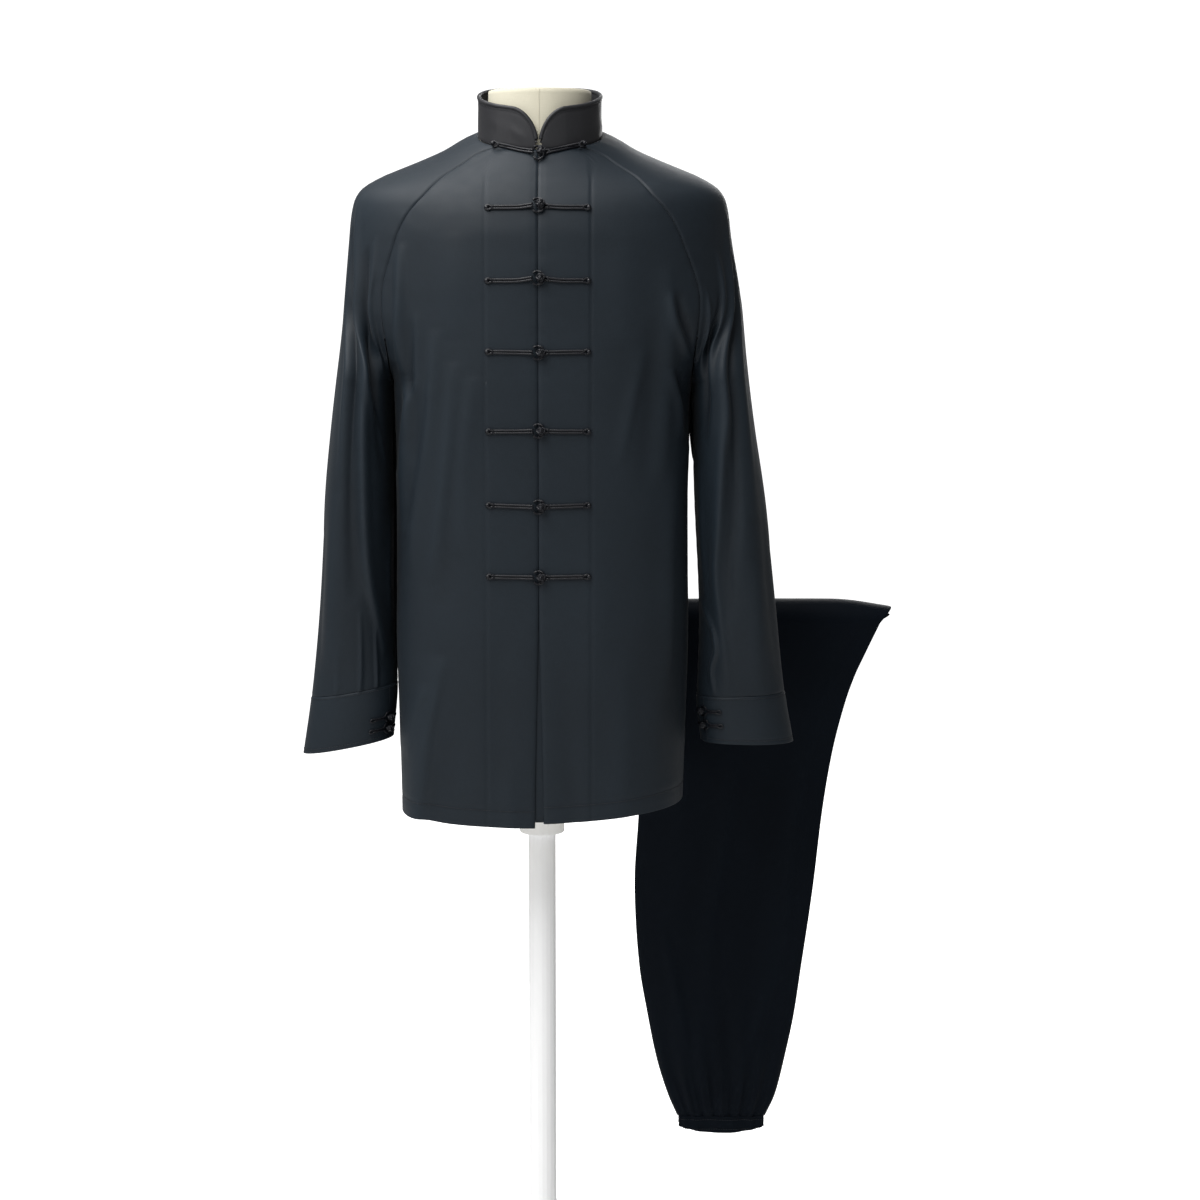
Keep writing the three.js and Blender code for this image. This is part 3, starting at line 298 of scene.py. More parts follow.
def close_to_edges(count: int, near: Sequence[float] = (0.004, 0.01, 0.02)) -> Array:
    """Shares from 0 to 1 with a few more places close to both ends.

    Args:
        count: Number of even steps.
        near: Distances of the added places from each end.

    Returns:
        The shares in order.
    """
    even = np.linspace(0, 1, count + 1)
    inner = even[(even > near[-1] * 1.4) & (even < 1 - near[-1] * 1.4)]
    return np.concatenate([[0], near, inner, [1 - n for n in reversed(near)], [1]])


@dataclass(frozen=True)
class Crease:
    """A soft ridge or trough along a path over a piece of cloth.

    Args:
        path: Places (across, level) that it runs through.
        width: Its half width.
        rise: Its height, below zero for a trough.
        skew: The half width of its right side, as a share of that of its left side.
        open_end: Whether it keeps its height where its path ends.
    """

    path: tuple[tuple[float, float], ...]
    width: float
    rise: float
    skew: float = 1.0
    open_end: bool = False

    def height(self, across: Array, level: Array, scale: float) -> Array:
        """Its height at places on the cloth.

        Args:
            across: Places across the cloth.
            level: Heights of those places.
            scale: Length of one unit across.

        Returns:
            How far the cloth stands out there.
        """
        nodes = np.array(self.path, float)
        steps = np.linspace(0, len(nodes) - 1, 6 * (len(nodes) - 1) + 1)
        line = np.stack([Curve(range(len(nodes)), nodes[:, k])(steps) for k in (0, 1)], axis=1)
        line[:, 0] *= scale
        start, run = line[:-1], np.diff(line, axis=0)
        place = np.stack([across * scale, level], axis=-1)[..., None, :] - start
        share = np.clip((place * run).sum(-1) / (run * run).sum(-1), 0, 1)
        gap = place - share[..., None] * run
        far = np.linalg.norm(gap, axis=-1)
        nearest = far.argmin(-1)[..., None]
        distance = np.take_along_axis(far, nearest, -1)[..., 0]
        turn = gap[..., 0] * run[:, 1] - gap[..., 1] * run[:, 0]
        is_right = np.take_along_axis(turn, nearest, -1)[..., 0] < 0
        done = (nearest[..., 0] + np.take_along_axis(share, nearest, -1)[..., 0]) / len(run)
        taper = np.sin(np.pi * np.clip(done * (0.5 if self.open_end else 1.0), 0, 1))
        width = np.where(is_right, self.width * self.skew, self.width)
        return self.rise * bell(distance, width) * np.clip(taper, 0, 1) ** 0.6


def relief(creases: Iterable[Crease], across: Array, level: Array, scale: float = 1.0) -> Array:
    """Adds up the creases of a piece.

    Args:
        creases: The creases.
        across: Places across the cloth.
        level: Heights of those places.
        scale: Length of one unit across.

    Returns:
        How far the cloth stands out at each place.
    """
    total = np.zeros_like(level)
    for crease in creases:
        total += crease.height(across, level, scale)
    return total


def folds(*rows: tuple) -> tuple[Crease, ...]:
    """Creases from rows of path, width and rise, with skew and open end where they differ."""
    return tuple(Crease(*row) for row in rows)


class Face(Enum):
    """The two faces of the body, each with the sign of its Y."""

    FRONT = -1
    BACK = 1

    def depth(self, table: Table, level: Array) -> Array:
        """How far a table's sections reach on this face."""
        return (table.front if self is Face.FRONT else table.back)(level)


@dataclass(frozen=True)
class Side:
    """What differs between the wearer's right and left side of the jacket."""

    name: str
    sign: int
    widening: float
    swing: float
    hem_centre: float
    hem_side: float
    seam_outer: float
    seam_tilt: float
    cuff_outer: float
    cuff_tilt: float
    frog_levels: tuple[float, float]

    def widened(self, level: Array) -> Array:
        """How much wider this side is at a level, as a factor."""
        return 1 + self.widening * smooth((WIDENING_TOP - level) / WIDENING_RUN)


RIGHT = Side("right", -1, 0, 0, 556, 562, 689, 0.17, 624, 0.19, (653, 640))
LEFT = Side("left", 1, 0.024, 9, 561, 575, 695, -0.04, 638, 0.01, (670, 651))


class JacketForm:
    """The plain form of the jacket: body, armholes and sleeves without folds."""

    @staticmethod
    def armhole_share(level: Array) -> Array:
        """Share of the way up the armhole."""
        return np.clip((level - ARMPIT) / (ARMHOLE_TOP - ARMPIT), 0, 1)

    def raglan(self, face: Face, level: Array) -> tuple[Array, ...]:
        """Where the raglan seam crosses each section.

        Args:
            face: Front or back.
            level: Heights.

        Returns:
            Its distance from the middle, its depth, and both before the armhole narrows them.
        """
        s = self.armhole_share(level)
        seam = (SHOULDER.raglan_front if face is Face.FRONT else SHOULDER.raglan_back)(level)
        depth = face.depth(SHOULDER, level)
        share = (seam / SHOULDER.half_width(level)) ** SHOULDER_ROUNDNESS
        full = depth * (1 - share) ** (1 / SHOULDER_ROUNDNESS)
        x = mix(BODY.half_width(ARMPIT), seam, smooth(s))
        return x, np.sqrt(s * (2 - s)) * full, seam, full

    def section(self, face: Face, level: Array) -> tuple[Array, ...]:
        """The body's section at each level.

        Args:
            face: Front or back.
            level: Heights.

        Returns:
            Its reach sideways, its depth and its roundness.
        """
        low = level < ARMPIT
        x, y, _, _ = self.raglan(face, level)
        chest = face.depth(SHOULDER, level)
        power = mix(BODY_ROUNDNESS, SHOULDER_ROUNDNESS, smooth(self.armhole_share(level)))
        reach = x / (1 - (y / chest) ** power) ** (1 / power)
        waist = face.depth(BODY, level)
        return np.where(low, BODY.half_width(level), reach), np.where(low, waist, chest), power

    def seam_angle(self, face: Face, level: Array) -> Array:
        """Angle from the middle round to the seam."""
        x, y, _, _ = self.raglan(face, level)
        return np.where(level < ARMPIT, np.pi / 2, np.arctan2(x, y))

    def body(self, side: Side, face: Face, angle: Array, level: Array) -> Array:
        """Points of the body.

        Args:
            side: The wearer's right or left.
            face: Front or back.
            angle: Angles from the middle of the face.
            level: Heights at the side.

        Returns:
            The points.
        """
        x, forward = squared_ellipse(angle, *self.section(face, level))
        y = face.value * forward
        edge = BODY.half_width(HEM)
        if face is Face.FRONT:
            hem = mix(side.hem_centre, side.hem_side, np.clip(np.abs(x) / edge, 0, 1) ** 1.5)
        else:
            hem = mix(RIGHT.hem_side, LEFT.hem_side, (side.sign * x / edge + 1) / 2)
        low = ARMPIT - (ARMPIT - level) / (ARMPIT - HEM) * (ARMPIT - hem)
        z = np.where(level < ARMPIT, low, level + SHOULDER.tilt(level) * y)
        return np.stack([side.sign * x * side.widened(level), y, z], axis=-1)

    def front(self, side: Side, u: Array, level: Array) -> Array:
        """Points of a front, from the opening at 0 to the seam at 1."""
        opening = (HEM_OPENING / 2) * smooth((LAST_FROG - level) / (LAST_FROG - HEM))
        start = np.arctan2(opening, self.section(Face.FRONT, level)[1])
        return self.body(side, Face.FRONT, mix(start, self.seam_angle(Face.FRONT, level), u), level)

    def back(self, u: Array, level: Array) -> Array:
        """Points of the back, from -1 at the right seam to 1 at the left seam."""
        angle = np.abs(u) * self.seam_angle(Face.BACK, level)
        right = self.body(RIGHT, Face.BACK, angle, level)
        left = self.body(LEFT, Face.BACK, angle, level)
        return np.where((u < 0)[..., None], right, left)

    def cap(self, face: Face, turn: Array, level: Array) -> Array:
        """The arc of a shoulder section outside the raglan seam, as x and y."""
        _, _, seam, full = self.raglan(face, level)
        place = turn if face is Face.FRONT else 1 - turn
        angle = mix(np.arctan2(seam, full), np.pi / 2, place * 2)
        depth = face.depth(SHOULDER, level)
        x, forward = squared_ellipse(angle, SHOULDER.half_width(level), depth, SHOULDER_ROUNDNESS)
        return np.stack([x, face.value * forward], axis=-1)

    def tube(self, turn: Array, level: Array) -> Array:
        """The hanging sleeve, from the underarm seam over the front and round, as x and y."""
        inner, outer = SLEEVE.inner(level), SLEEVE.outer(level)
        angle = turn * 2 * np.pi
        power = 2 / SLEEVE_ROUNDNESS
        x = (inner + outer) / 2 - (outer - inner) / 2 * power_of(np.cos(angle), power)
        y = SLEEVE.middle(level) - SLEEVE.half_depth(level) * power_of(np.sin(angle), power)
        return np.stack([x, y], axis=-1)

    def half_sleeve(self, face: Face, turn: Array, level: Array) -> Array:
        """The front or back half of the sleeve's sections, as x and y."""
        share = smooth(self.armhole_share(level))[..., None]
        edge_turn = np.zeros_like(turn) if face is Face.FRONT else np.ones_like(turn)

        def blend(at: Array) -> Array:
            return mix(self.tube(at, level), self.cap(face, at, level), share)

        x, y, _, _ = self.raglan(face, level)
        seam = np.stack([x, face.value * y], axis=-1)
        near = np.clip(1 - np.minimum(turn, 1 - turn) / SEAM_REACH, 0, 1)[..., None] ** 2
        moved = blend(turn) + near * (seam - blend(edge_turn))
        return np.where((level < ARMPIT)[..., None], blend(turn), moved)

    def sleeve(self, side: Side, turn: Array, level: Array) -> Array:
        """Points of a sleeve or, below its seam, of a cuff.

        Args:
            side: The wearer's right or left.
            turn: Shares of the way round from the underarm seam over the front.
            level: Heights at the outer side.

        Returns:
            The points.
        """
        turn = np.where(turn > 1, turn - 1, turn)
        front = self.half_sleeve(Face.FRONT, turn, level)
        back = self.half_sleeve(Face.BACK, turn, level)
        flat = np.where((turn <= 0.5)[..., None], front, back)
        x, y = flat[..., 0], flat[..., 1]
        inset = SLEEVE.outer(level) - x
        at_seam = side.seam_outer + side.seam_tilt * inset - CUFF_SEAM
        at_end = side.cuff_outer + side.cuff_tilt * inset - CUFF_END
        hanging = level + at_seam * smooth((ARMPIT - level) / (ARMPIT - CUFF_SEAM))
        cuff = level + mix(at_seam, at_end, (CUFF_SEAM - level) / (CUFF_SEAM - CUFF_END))
        z = np.where(level >= CUFF_SEAM, hanging, cuff)
        z = np.where(level >= ARMPIT, level + SHOULDER.tilt(level) * y, z)
        out = x * side.widened(level) + side.swing * smooth((ARMPIT - level) / SWING_RUN)
        return np.stack([side.sign * out, y, z], axis=-1)


FORM = JacketForm()


def outward_normals(grid: Array, toward: Sequence[float] | None = None) -> Array:
    """Normals of a grid of points, away from its inside.

    Args:
        grid: Points by row and column.
        toward: A direction on the outer side, for a piece that is nearly flat.

    Returns:
        A unit vector at each point.
    """
    normal = unit(np.cross(np.gradient(grid, axis=1), np.gradient(grid, axis=0)))
    away = grid - grid.mean((0, 1)) if toward is None else np.asarray(toward, float)
    return normal * (1 if (normal * away).sum() > 0 else -1)


def run_lengths(grid: Array, axis: int) -> Array:
    """Length along a cloth or a line from its first points to each point."""
    steps = np.linalg.norm(np.diff(grid, axis=axis), axis=-1)
    pad = [(0, 0)] * steps.ndim
    pad[axis] = (1, 0)
    return np.pad(np.cumsum(steps, axis=axis), pad)


def wander(rng: np.random.Generator, length: float, pitch: float) -> Curve:
    """An uneven wave along a seam.

    Args:
        rng: Source of chance.
        length: How far it runs.
        pitch: Usual distance between its turns.

    Returns:
        A curve with values from -1 to 1.
    """
    count = max(4, int(length / pitch) + 3)
    places = np.linspace(-pitch, length + pitch, count) + rng.uniform(-0.3, 0.3, count) * pitch
    signs = np.where(np.arange(count) % 2 == 0, 1.0, -1.0)
    return Curve(np.sort(places), signs * rng.uniform(0.25, 1.0, count))


def add_object(name: str, data: bpy.types.ID) -> Object:
    """Puts a new object into the scene."""
    made = bpy.data.objects.new(name, data)
    bpy.context.scene.collection.objects.link(made)
    return made


def make_object(
    name: str,
    points: Array,
    faces: Sequence[Sequence[int]],
    material: Material,
    uv: Array | None = None,
    crest: Array | None = None,
) -> Object:
    """Makes a smooth-shaded mesh object that rides on the part.

    Args:
        name: Its name.
        points: Its points.
        faces: Its faces, as indexes of points.
        material: Its finish.
        uv: Place of each point along the cloth or cord, in metres.
        crest: How far each point stands on a ridge, from -1 to 1.

    Returns:
        The object.
    """
    mesh = bpy.data.meshes.new(name)
    mesh.from_pydata((np.asarray(points).reshape(-1, 3) * MM).tolist(), [], faces)
    mesh.polygons.foreach_set("use_smooth", [True] * len(mesh.polygons))
    if uv is not None:
        corner = np.empty(len(mesh.loops), np.int32)
        mesh.loops.foreach_get("vertex_index", corner)
        layer = mesh.uv_layers.new(name="Cloth")
        layer.data.foreach_set("uv", uv[corner].astype(np.float32).ravel())
    if crest is not None:
        attribute = mesh.attributes.new("crest", "FLOAT", "POINT")
        attribute.data.foreach_set("value", crest.astype(np.float32))
    mesh.materials.append(material)
    mesh.update()
    piece = add_object(name, mesh)
    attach(piece, ROOT)
    return piece


def quads(rows: int, columns: int, start: int, flip: bool, wrap: bool = False) -> list[list[int]]:
    """Faces of a grid of points.

    Args:
        rows: Its rows.
        columns: Its columns.
        start: Index of its first point.
        flip: Whether to turn the faces over.
        wrap: Whether the last column joins the first.

    Returns:
        The faces.
    """
    i, j = np.meshgrid(np.arange(rows - 1), np.arange(columns if wrap else columns - 1), indexing="ij")
    left, right = i * columns + j, i * columns + (j + 1) % columns
    corners = [left, right, right + columns, left + columns]
    faces = np.stack([c.ravel() for c in corners], axis=1) + start
    return (faces[:, ::-1] if flip else faces).tolist()


class Cloth:
    """A piece of cloth: a fine grid of outer points, closed to a thin wall."""

    # How far from a hem or a seam the folds are back to full height, then the ripples and valley at a seam
    HEM_CALM, SEAM_CALM = 6, 11
    RIPPLE, RIPPLE_PITCH, RIPPLE_REACH, RIPPLE_START = 0.42, 11, 9, 2
    VALLEY, VALLEY_WIDTH = 1.2, 1.7
    CREST_HEIGHT = 4

    def __init__(
        self,
        name: str,
        grid: Array,
        height: Array | float = 0.0,
        toward: Sequence[float] | None = None,
        sewn: Sequence[str] = (),
        wall: float = CLOTH,
        seed: int = 1,
    ) -> None:
        """Raises the relief of the piece and draws in its sewn edges.

        Args:
            name: Its name.
            grid: Points of its plain form by row and column, from the top down.
            height: How far its folds stand out at each point.
            toward: A direction on its outer side, for a piece that is nearly flat.
            sewn: Borders sewn to other pieces, among top, bottom, first and last.
            wall: Thickness.
            seed: Start of its chance values.
        """
        self.name = name
        self.wall = wall
        self.toward = toward
        normal = outward_normals(grid, toward)
        self.relief = height * self.calm(grid, sewn)
        pucker = self.puckers(grid, sewn, np.random.default_rng(seed))
        self.grid = grid + normal * (self.relief + pucker)[..., None]
        for border in sewn:
            self.draw_back(border)
        self.normal = outward_normals(self.grid, toward)

    @staticmethod
    def distances(grid: Array, border: str) -> Array:
        """Length along the cloth from a border to each point."""
        axis = 0 if border in ("top", "bottom") else 1
        run = run_lengths(grid, axis)
        if border in ("top", "first"):
            return run
        return run.take([-1], axis=axis) - run

    @staticmethod
    def groove(grid: Array, border: str, inset: float, depth: float, width: float) -> Array:
        """Depth of the line that a row of stitches pulls in along a border."""
        return depth * bell(Cloth.distances(grid, border) - inset, width)

    def calm(self, grid: Array, sewn: Sequence[str]) -> Array:
        """Share of the folds that is left near the seams, so that two sewn pieces meet."""
        share = np.ones(grid.shape[:2])
        for border in sewn:
            reach = self.HEM_CALM if border == "bottom" else self.SEAM_CALM
            share = share * smooth(self.distances(grid, border) / reach)
        return share

    def puckers(self, grid: Array, sewn: Sequence[str], rng: np.random.Generator) -> Array:
        """The narrow valley at each seam and the small ripples beside it."""
        total = np.zeros(grid.shape[:2])
        for border in sewn:
            away = self.distances(grid, border)
            along = run_lengths(grid, 1 if border in ("top", "bottom") else 0)
            ripple = self.RIPPLE * wander(rng, float(along.max()), self.RIPPLE_PITCH)(along)
            total += ripple * np.exp(-away / self.RIPPLE_REACH) * (1 - np.exp(-away / self.RIPPLE_START))
            total -= self.VALLEY * bell(away, self.VALLEY_WIDTH)
        return total

    def draw_back(self, border: str) -> None:
        """Draws one border back from its seam by half the gap."""
        edge, inner = {
            "top": (np.s_[0], np.s_[1]),
            "bottom": (np.s_[-1], np.s_[-2]),
            "first": (np.s_[:, 0], np.s_[:, 1]),
            "last": (np.s_[:, -1], np.s_[:, -2]),
        }[border]
        self.grid[edge] += unit(self.grid[inner] - self.grid[edge]) * (SEAM_GAP / 2)

    def line(self, border: str, distance: float, lift: float = 0.0) -> tuple[Array, Array]:
        """A line along a border, at a distance from it.

        Args:
            border: The border.
            distance: Length along the cloth from it.
            lift: How far the line lies off the cloth.

        Returns:
            Its points and the cloth's normals there.
        """
        away = self.distances(self.grid, border)
        grid, normal = self.grid, self.normal
        if border in ("top", "bottom"):
            away, grid, normal = away.T, grid.transpose(1, 0, 2), normal.transpose(1, 0, 2)
        if border in ("bottom", "last"):
            away, grid, normal = away[:, ::-1], grid[:, ::-1], normal[:, ::-1]
        read = [
            [np.interp(distance, away[i], source[i, :, k]) for k in range(3)]
            for source in (grid, normal)
            for i in range(len(away))
        ]
        points, normals = np.array(read).reshape(2, len(away), 3)
        return points + normals * lift, normals

    def at(self, row: Array, column: Array) -> tuple[Array, Array]:
        """Points and normals at fractional rows and columns of the grid."""
        i = np.clip(np.floor(row).astype(int), 0, self.grid.shape[0] - 2)
        j = np.clip(np.floor(column).astype(int), 0, self.grid.shape[1] - 2)
        s, t = (row - i)[..., None], (column - j)[..., None]
        found = [
            mix(mix(g[i, j], g[i, j + 1], t), mix(g[i + 1, j], g[i + 1, j + 1], t), s)
            for g in (self.grid, self.normal)
        ]
        return found[0], found[1]

    def build(self, material: Material) -> Object:
        """Makes the wall.

        Args:
            material: Its finish.

        Returns:
            The object.
        """
        rows, columns = self.grid.shape[:2]
        size = rows * columns
        inner = self.grid - self.normal * self.wall
        up = np.cross(self.grid[1, 0] - self.grid[0, 0], self.grid[0, 1] - self.grid[0, 0])
        flip = bool(np.dot(up, self.normal[0, 0]) > 0)
        faces = quads(rows, columns, 0, flip) + quads(rows, columns, size, not flip)
        for line, turned in (
            (np.arange(columns), False),
            (np.arange(columns) + (rows - 1) * columns, True),
            (np.arange(rows) * columns, True),
            (np.arange(rows) * columns + columns - 1, False),
        ):
            rim = np.stack([line[1:], line[:-1], line[:-1] + size, line[1:] + size], axis=1)
            faces += (rim[:, ::-1] if turned != flip else rim).tolist()
        uv = np.stack([run_lengths(self.grid, 1), -run_lengths(self.grid, 0)], axis=-1) * MM
        # The crest is kept for the finish's painted highlight on ridges and painted shade in troughs
        crest = np.clip(self.relief / self.CREST_HEIGHT, -1, 1).ravel()
        return make_object(
            self.name,
            np.concatenate([self.grid.reshape(-1, 3), inner.reshape(-1, 3)]),
            faces,
            material,
            np.tile(uv.reshape(-1, 2), (2, 1)),
            np.concatenate([crest, -crest]),
        )


def search_tree(cloths: Sequence[Cloth]) -> BVHTree:
    """A search tree of the outer faces of some pieces, in millimetres."""
    points, faces, start = [], [], 0
    for cloth in cloths:
        rows, columns = cloth.grid.shape[:2]
        points += cloth.grid.reshape(-1, 3).tolist()
        faces += quads(rows, columns, start, False)
        start += rows * columns
    return BVHTree.FromPolygons(points, faces)


def stitch_row(
    name: str,
    line: tuple[Array, Array],
    material: Material,
    length: float = 2.3,
    gap: float = 0.8,
    radius: float = 0.24,
) -> Object:
    """A row of stitches that dip into the cloth at both ends.

    Args:
        name: Its name.
        line: Points of the row and the cloth's normals there.
        material: The thread's finish.
        length: Length of one stitch.
        gap: Space between two stitches.
        radius: Half the thread's thickness.

    Returns:
        The object.
    """
    along_row = run_lengths(line[0], 0)
    places = np.arange((length + gap) / 2, along_row[-1], length + gap)
    middles, normals = (
        np.stack([np.interp(places, along_row, part[:, k]) for k in range(3)], axis=1) for part in line
    )
    run, normals = unit(np.gradient(middles, axis=0)), unit(normals)
    side = np.cross(run, normals)
    stations = ((-0.5, -0.15, 0.5), (-0.28, 0.75, 1.0), (0.28, 0.75, 1.0), (0.5, -0.15, 0.5))
    rings = []
    for along, rise, size in stations:
        centre = middles + run * along * length + normals * rise * radius
        for angle in np.radians([45, 135, 225, 315]):
            rings.append(centre + (side * math.cos(angle) + normals * math.sin(angle)) * radius * size)
    points = np.stack(rings, axis=1)
    one = np.array(quads(len(stations), 4, 0, True, wrap=True))
    faces = (one[None] + (np.arange(len(middles)) * points.shape[1])[:, None, None]).reshape(-1, 4)
    return make_object(name, points, faces.tolist(), material)


def spline(points: Array, per: int) -> Array:
    """A smooth line through points.

    Args:
        points: The points.
        per: How many steps lie between two of them.

    Returns:
        The points of the line.
    """
    padded = np.concatenate([[2 * points[0] - points[1]], points, [2 * points[-1] - points[-2]]])
    t = np.linspace(0, 1, per, endpoint=False)[:, None]
    pieces = []
    for a, b, c, d in zip(padded, padded[1:], padded[2:], padded[3:]):
        bend, twist = 2 * a - 5 * b + 4 * c - d, 3 * b - a - 3 * c + d
        pieces.append(0.5 * (2 * b + (c - a) * t + bend * t**2 + twist * t**3))
    return np.concatenate([*pieces, points[-1:]])


def tube_mesh(
    line: Array, radius: Array | float, sides: int = 8, closed: bool = False
) -> tuple[Array, list[list[int]], Array]:
    """A round cord along a line.

    Args:
        line: Its middle.
        radius: Half its thickness, at all or at each point.
        sides: Faces round it.
        closed: Whether its end meets its start.

    Returns:
        Its points, its faces and its places along and round, in metres.
    """
    run = unit(np.roll(line, -1, 0) - np.roll(line, 1, 0) if closed else np.gradient(line, axis=0))
    ups = [unit(np.cross(run[0], [0.3, 0.9, 0.31]))]
    for direction in run[1:]:
        ups.append(unit(ups[-1] - direction * np.dot(ups[-1], direction)))
    up = np.array(ups)
    side = np.cross(run, up)
    size = np.broadcast_to(np.asarray(radius, float), len(line))[:, None]
    turns = np.linspace(0, 2 * np.pi, sides, endpoint=False)
    rings = np.stack([line + (up * math.cos(t) + side * math.sin(t)) * size for t in turns], axis=1)
    points, faces = rings.reshape(-1, 3), quads(len(line), sides, 0, False, wrap=True)
    last = (len(line) - 1) * sides
    if closed:
        faces += [[last + j, last + (j + 1) % sides, (j + 1) % sides, j] for j in range(sides)]
    else:
        faces += [list(range(sides))[::-1], [last + j for j in range(sides)]]
    along = run_lengths(line, 0)[:, None]
    uv = np.stack(np.broadcast_arrays(along * MM, turns[None] * size * MM), axis=-1)
    return points, faces, uv.reshape(-1, 2)


def join_meshes(parts: Sequence[tuple]) -> tuple[Array, list[list[int]], Array]:
    """Puts several meshes into one."""
    points, faces, uvs, start = [], [], [], 0
    for part_points, part_faces, part_uv in parts:
        points.append(part_points)
        uvs.append(part_uv)
        faces += [[k + start for k in face] for face in part_faces]
        start += len(part_points)
    return np.concatenate(points), faces, np.concatenate(uvs)


def ball_mesh(centre: Array, radius: float, sides: int = 16) -> tuple:
    """A small round core, as points, faces and places."""
    rows = sides // 2 + 1
    tilt = np.linspace(0.02, np.pi - 0.02, rows)[:, None]
    turn = np.linspace(0, 2 * np.pi, sides, endpoint=False)[None]
    unit = np.stack(
        np.broadcast_arrays(np.sin(tilt) * np.cos(turn), np.sin(tilt) * np.sin(turn), np.cos(tilt)), -1
    )
    points = centre + unit.reshape(-1, 3) * radius
    faces = quads(rows, sides, 0, True, wrap=True)
    faces += [list(range(sides)), [(rows - 1) * sides + j for j in range(sides)][::-1]]
    return points, faces, unit.reshape(-1, 3)[:, :2] * radius * MM


@dataclass
class Nodes:
    """Adds and links the nodes of one material or node group."""

    tree: Tree

    def add(self, kind: str, **settings: object) -> Node:
        """Adds a node.

        Args:
            kind: The node's type without the word ShaderNode.
            settings: Its properties.

        Returns:
            The node.
        """
        node = self.tree.nodes.new(f"ShaderNode{kind}")
        for name, value in settings.items():
            setattr(node, name, value)
        return node

    def link(self, source: Socket, *targets: Socket) -> None:
        """Joins an output to inputs."""
        for target in targets:
            self.tree.links.new(source, target)

    def math(self, operation: str, a: object, b: object = 0.0) -> Socket:
        """Works out a value from two sockets or numbers.

        Args:
            operation: The operation's name.
            a: The first.
            b: The second.

        Returns:
            The result's socket.
        """
        node = self.add("Math", operation=operation)
        for socket, value in zip(node.inputs, (a, b)):
            if isinstance(value, Socket):
                self.link(value, socket)
            else:
                socket.default_value = value
        return node.outputs[0]

    def times(self, a: object, b: object) -> Socket:
        """The product of two sockets or numbers."""
        return self.math("MULTIPLY", a, b)

    def plus(self, a: object, b: object) -> Socket:
        """The sum of two sockets or numbers."""
        return self.math("ADD", a, b)

    def noise(self, vector: Socket, scale: object, detail: float = 2.0) -> Socket:
        """A noise value.

        Args:
            vector: Where it is read.
            scale: Turns per unit, as a number or a socket.
            detail: How many finer layers it has.

        Returns:
            The value's socket.
        """
        node = self.add("TexNoise")
        self.link(vector, node.inputs["Vector"])
        if isinstance(scale, Socket):
            self.link(scale, node.inputs["Scale"])
        else:
            node.inputs["Scale"].default_value = scale
        node.inputs["Detail"].default_value = detail
        return node.outputs["Fac"]

    def stretched(self, vector: Socket, scale: tuple[float, float, float]) -> Socket:
        """A vector with its parts scaled apart."""
        node = self.add("VectorMath", operation="MULTIPLY")
        self.link(vector, node.inputs[0])
        node.inputs[1].default_value = scale
        return node.outputs[0]


def new_group(
    name: str, inputs: dict[str, tuple[str, object]], outputs: Sequence[str]
) -> tuple[Nodes, Node, Node]:
    """Starts a shader node group.

    Args:
        name: Its name.
        inputs: For each input, its kind of socket and its value.
        outputs: The names of its values.

    Returns:
        Its nodes, its input node and its output node.
    """
    tree = bpy.data.node_groups.new(name, "ShaderNodeTree")
    for key, (kind, value) in inputs.items():
        socket = tree.interface.new_socket(key, in_out="INPUT", socket_type=f"NodeSocket{kind}")
        if value is not None:
            socket.default_value = value
    for key in outputs:
        tree.interface.new_socket(key, in_out="OUTPUT", socket_type="NodeSocketFloat")
    return Nodes(tree), tree.nodes.new("NodeGroupInput"), tree.nodes.new("NodeGroupOutput")


def weave_group() -> Tree:
    """The threads of a cloth: a height for the bump and the lighter threads as a mask."""
    nodes, given, made = new_group(
        "Weave",
        {"Place": ("Vector", None), "Threads": ("Float", 1800.0), "Slubs": ("Float", 0.5)},
        ["Height", "Threads"],
    )
    place, split = given.outputs["Place"], nodes.add("SeparateXYZ")
    nodes.link(place, split.inputs[0])
    turns = nodes.times(given.outputs["Threads"], 2 * math.pi)
    warp = nodes.math("SINE", nodes.times(split.outputs["X"], turns))
    weft = nodes.math("SINE", nodes.times(split.outputs["Y"], turns))
    plain = nodes.times(warp, weft)
    long_way = nodes.noise(nodes.stretched(place, (1500.0, 90.0, 1.0)), 1.0)
    cross_way = nodes.noise(nodes.stretched(place, (90.0, 1300.0, 1.0)), 1.0)
    uneven = nodes.plus(long_way, cross_way)
    slub = nodes.times(uneven, given.outputs["Slubs"])
    nodes.link(nodes.plus(nodes.times(plain, 0.25), slub), made.inputs["Height"])
    nodes.link(nodes.times(uneven, 0.5), made.inputs["Threads"])
    return nodes.tree


def tone_and_painted_shade_group() -> Tree:
    """Slow random changes of tone, with painted highlight on the ridges and painted shade in the troughs.
    """
    nodes, given, made = new_group(
        "ToneAndPaintedShade",
        {"Place": ("Vector", None), "Crest": ("Float", 0.0), "Spread": ("Float", 6.0)},
        ["Shade", "Fine"],
    )
    broad = nodes.noise(given.outputs["Place"], given.outputs["Spread"], 3.0)
    fine = nodes.noise(given.outputs["Place"], 60.0, 4.0)
    # Painted highlight and painted shade: the crest makes ridges paler and troughs darker
    ridge = nodes.times(given.outputs["Crest"], 0.28)
    both = nodes.plus(nodes.times(broad, 0.8), nodes.times(fine, 0.2))
    nodes.link(nodes.plus(both, ridge), made.inputs["Shade"])
    nodes.link(fine, made.inputs["Fine"])
    return nodes.tree


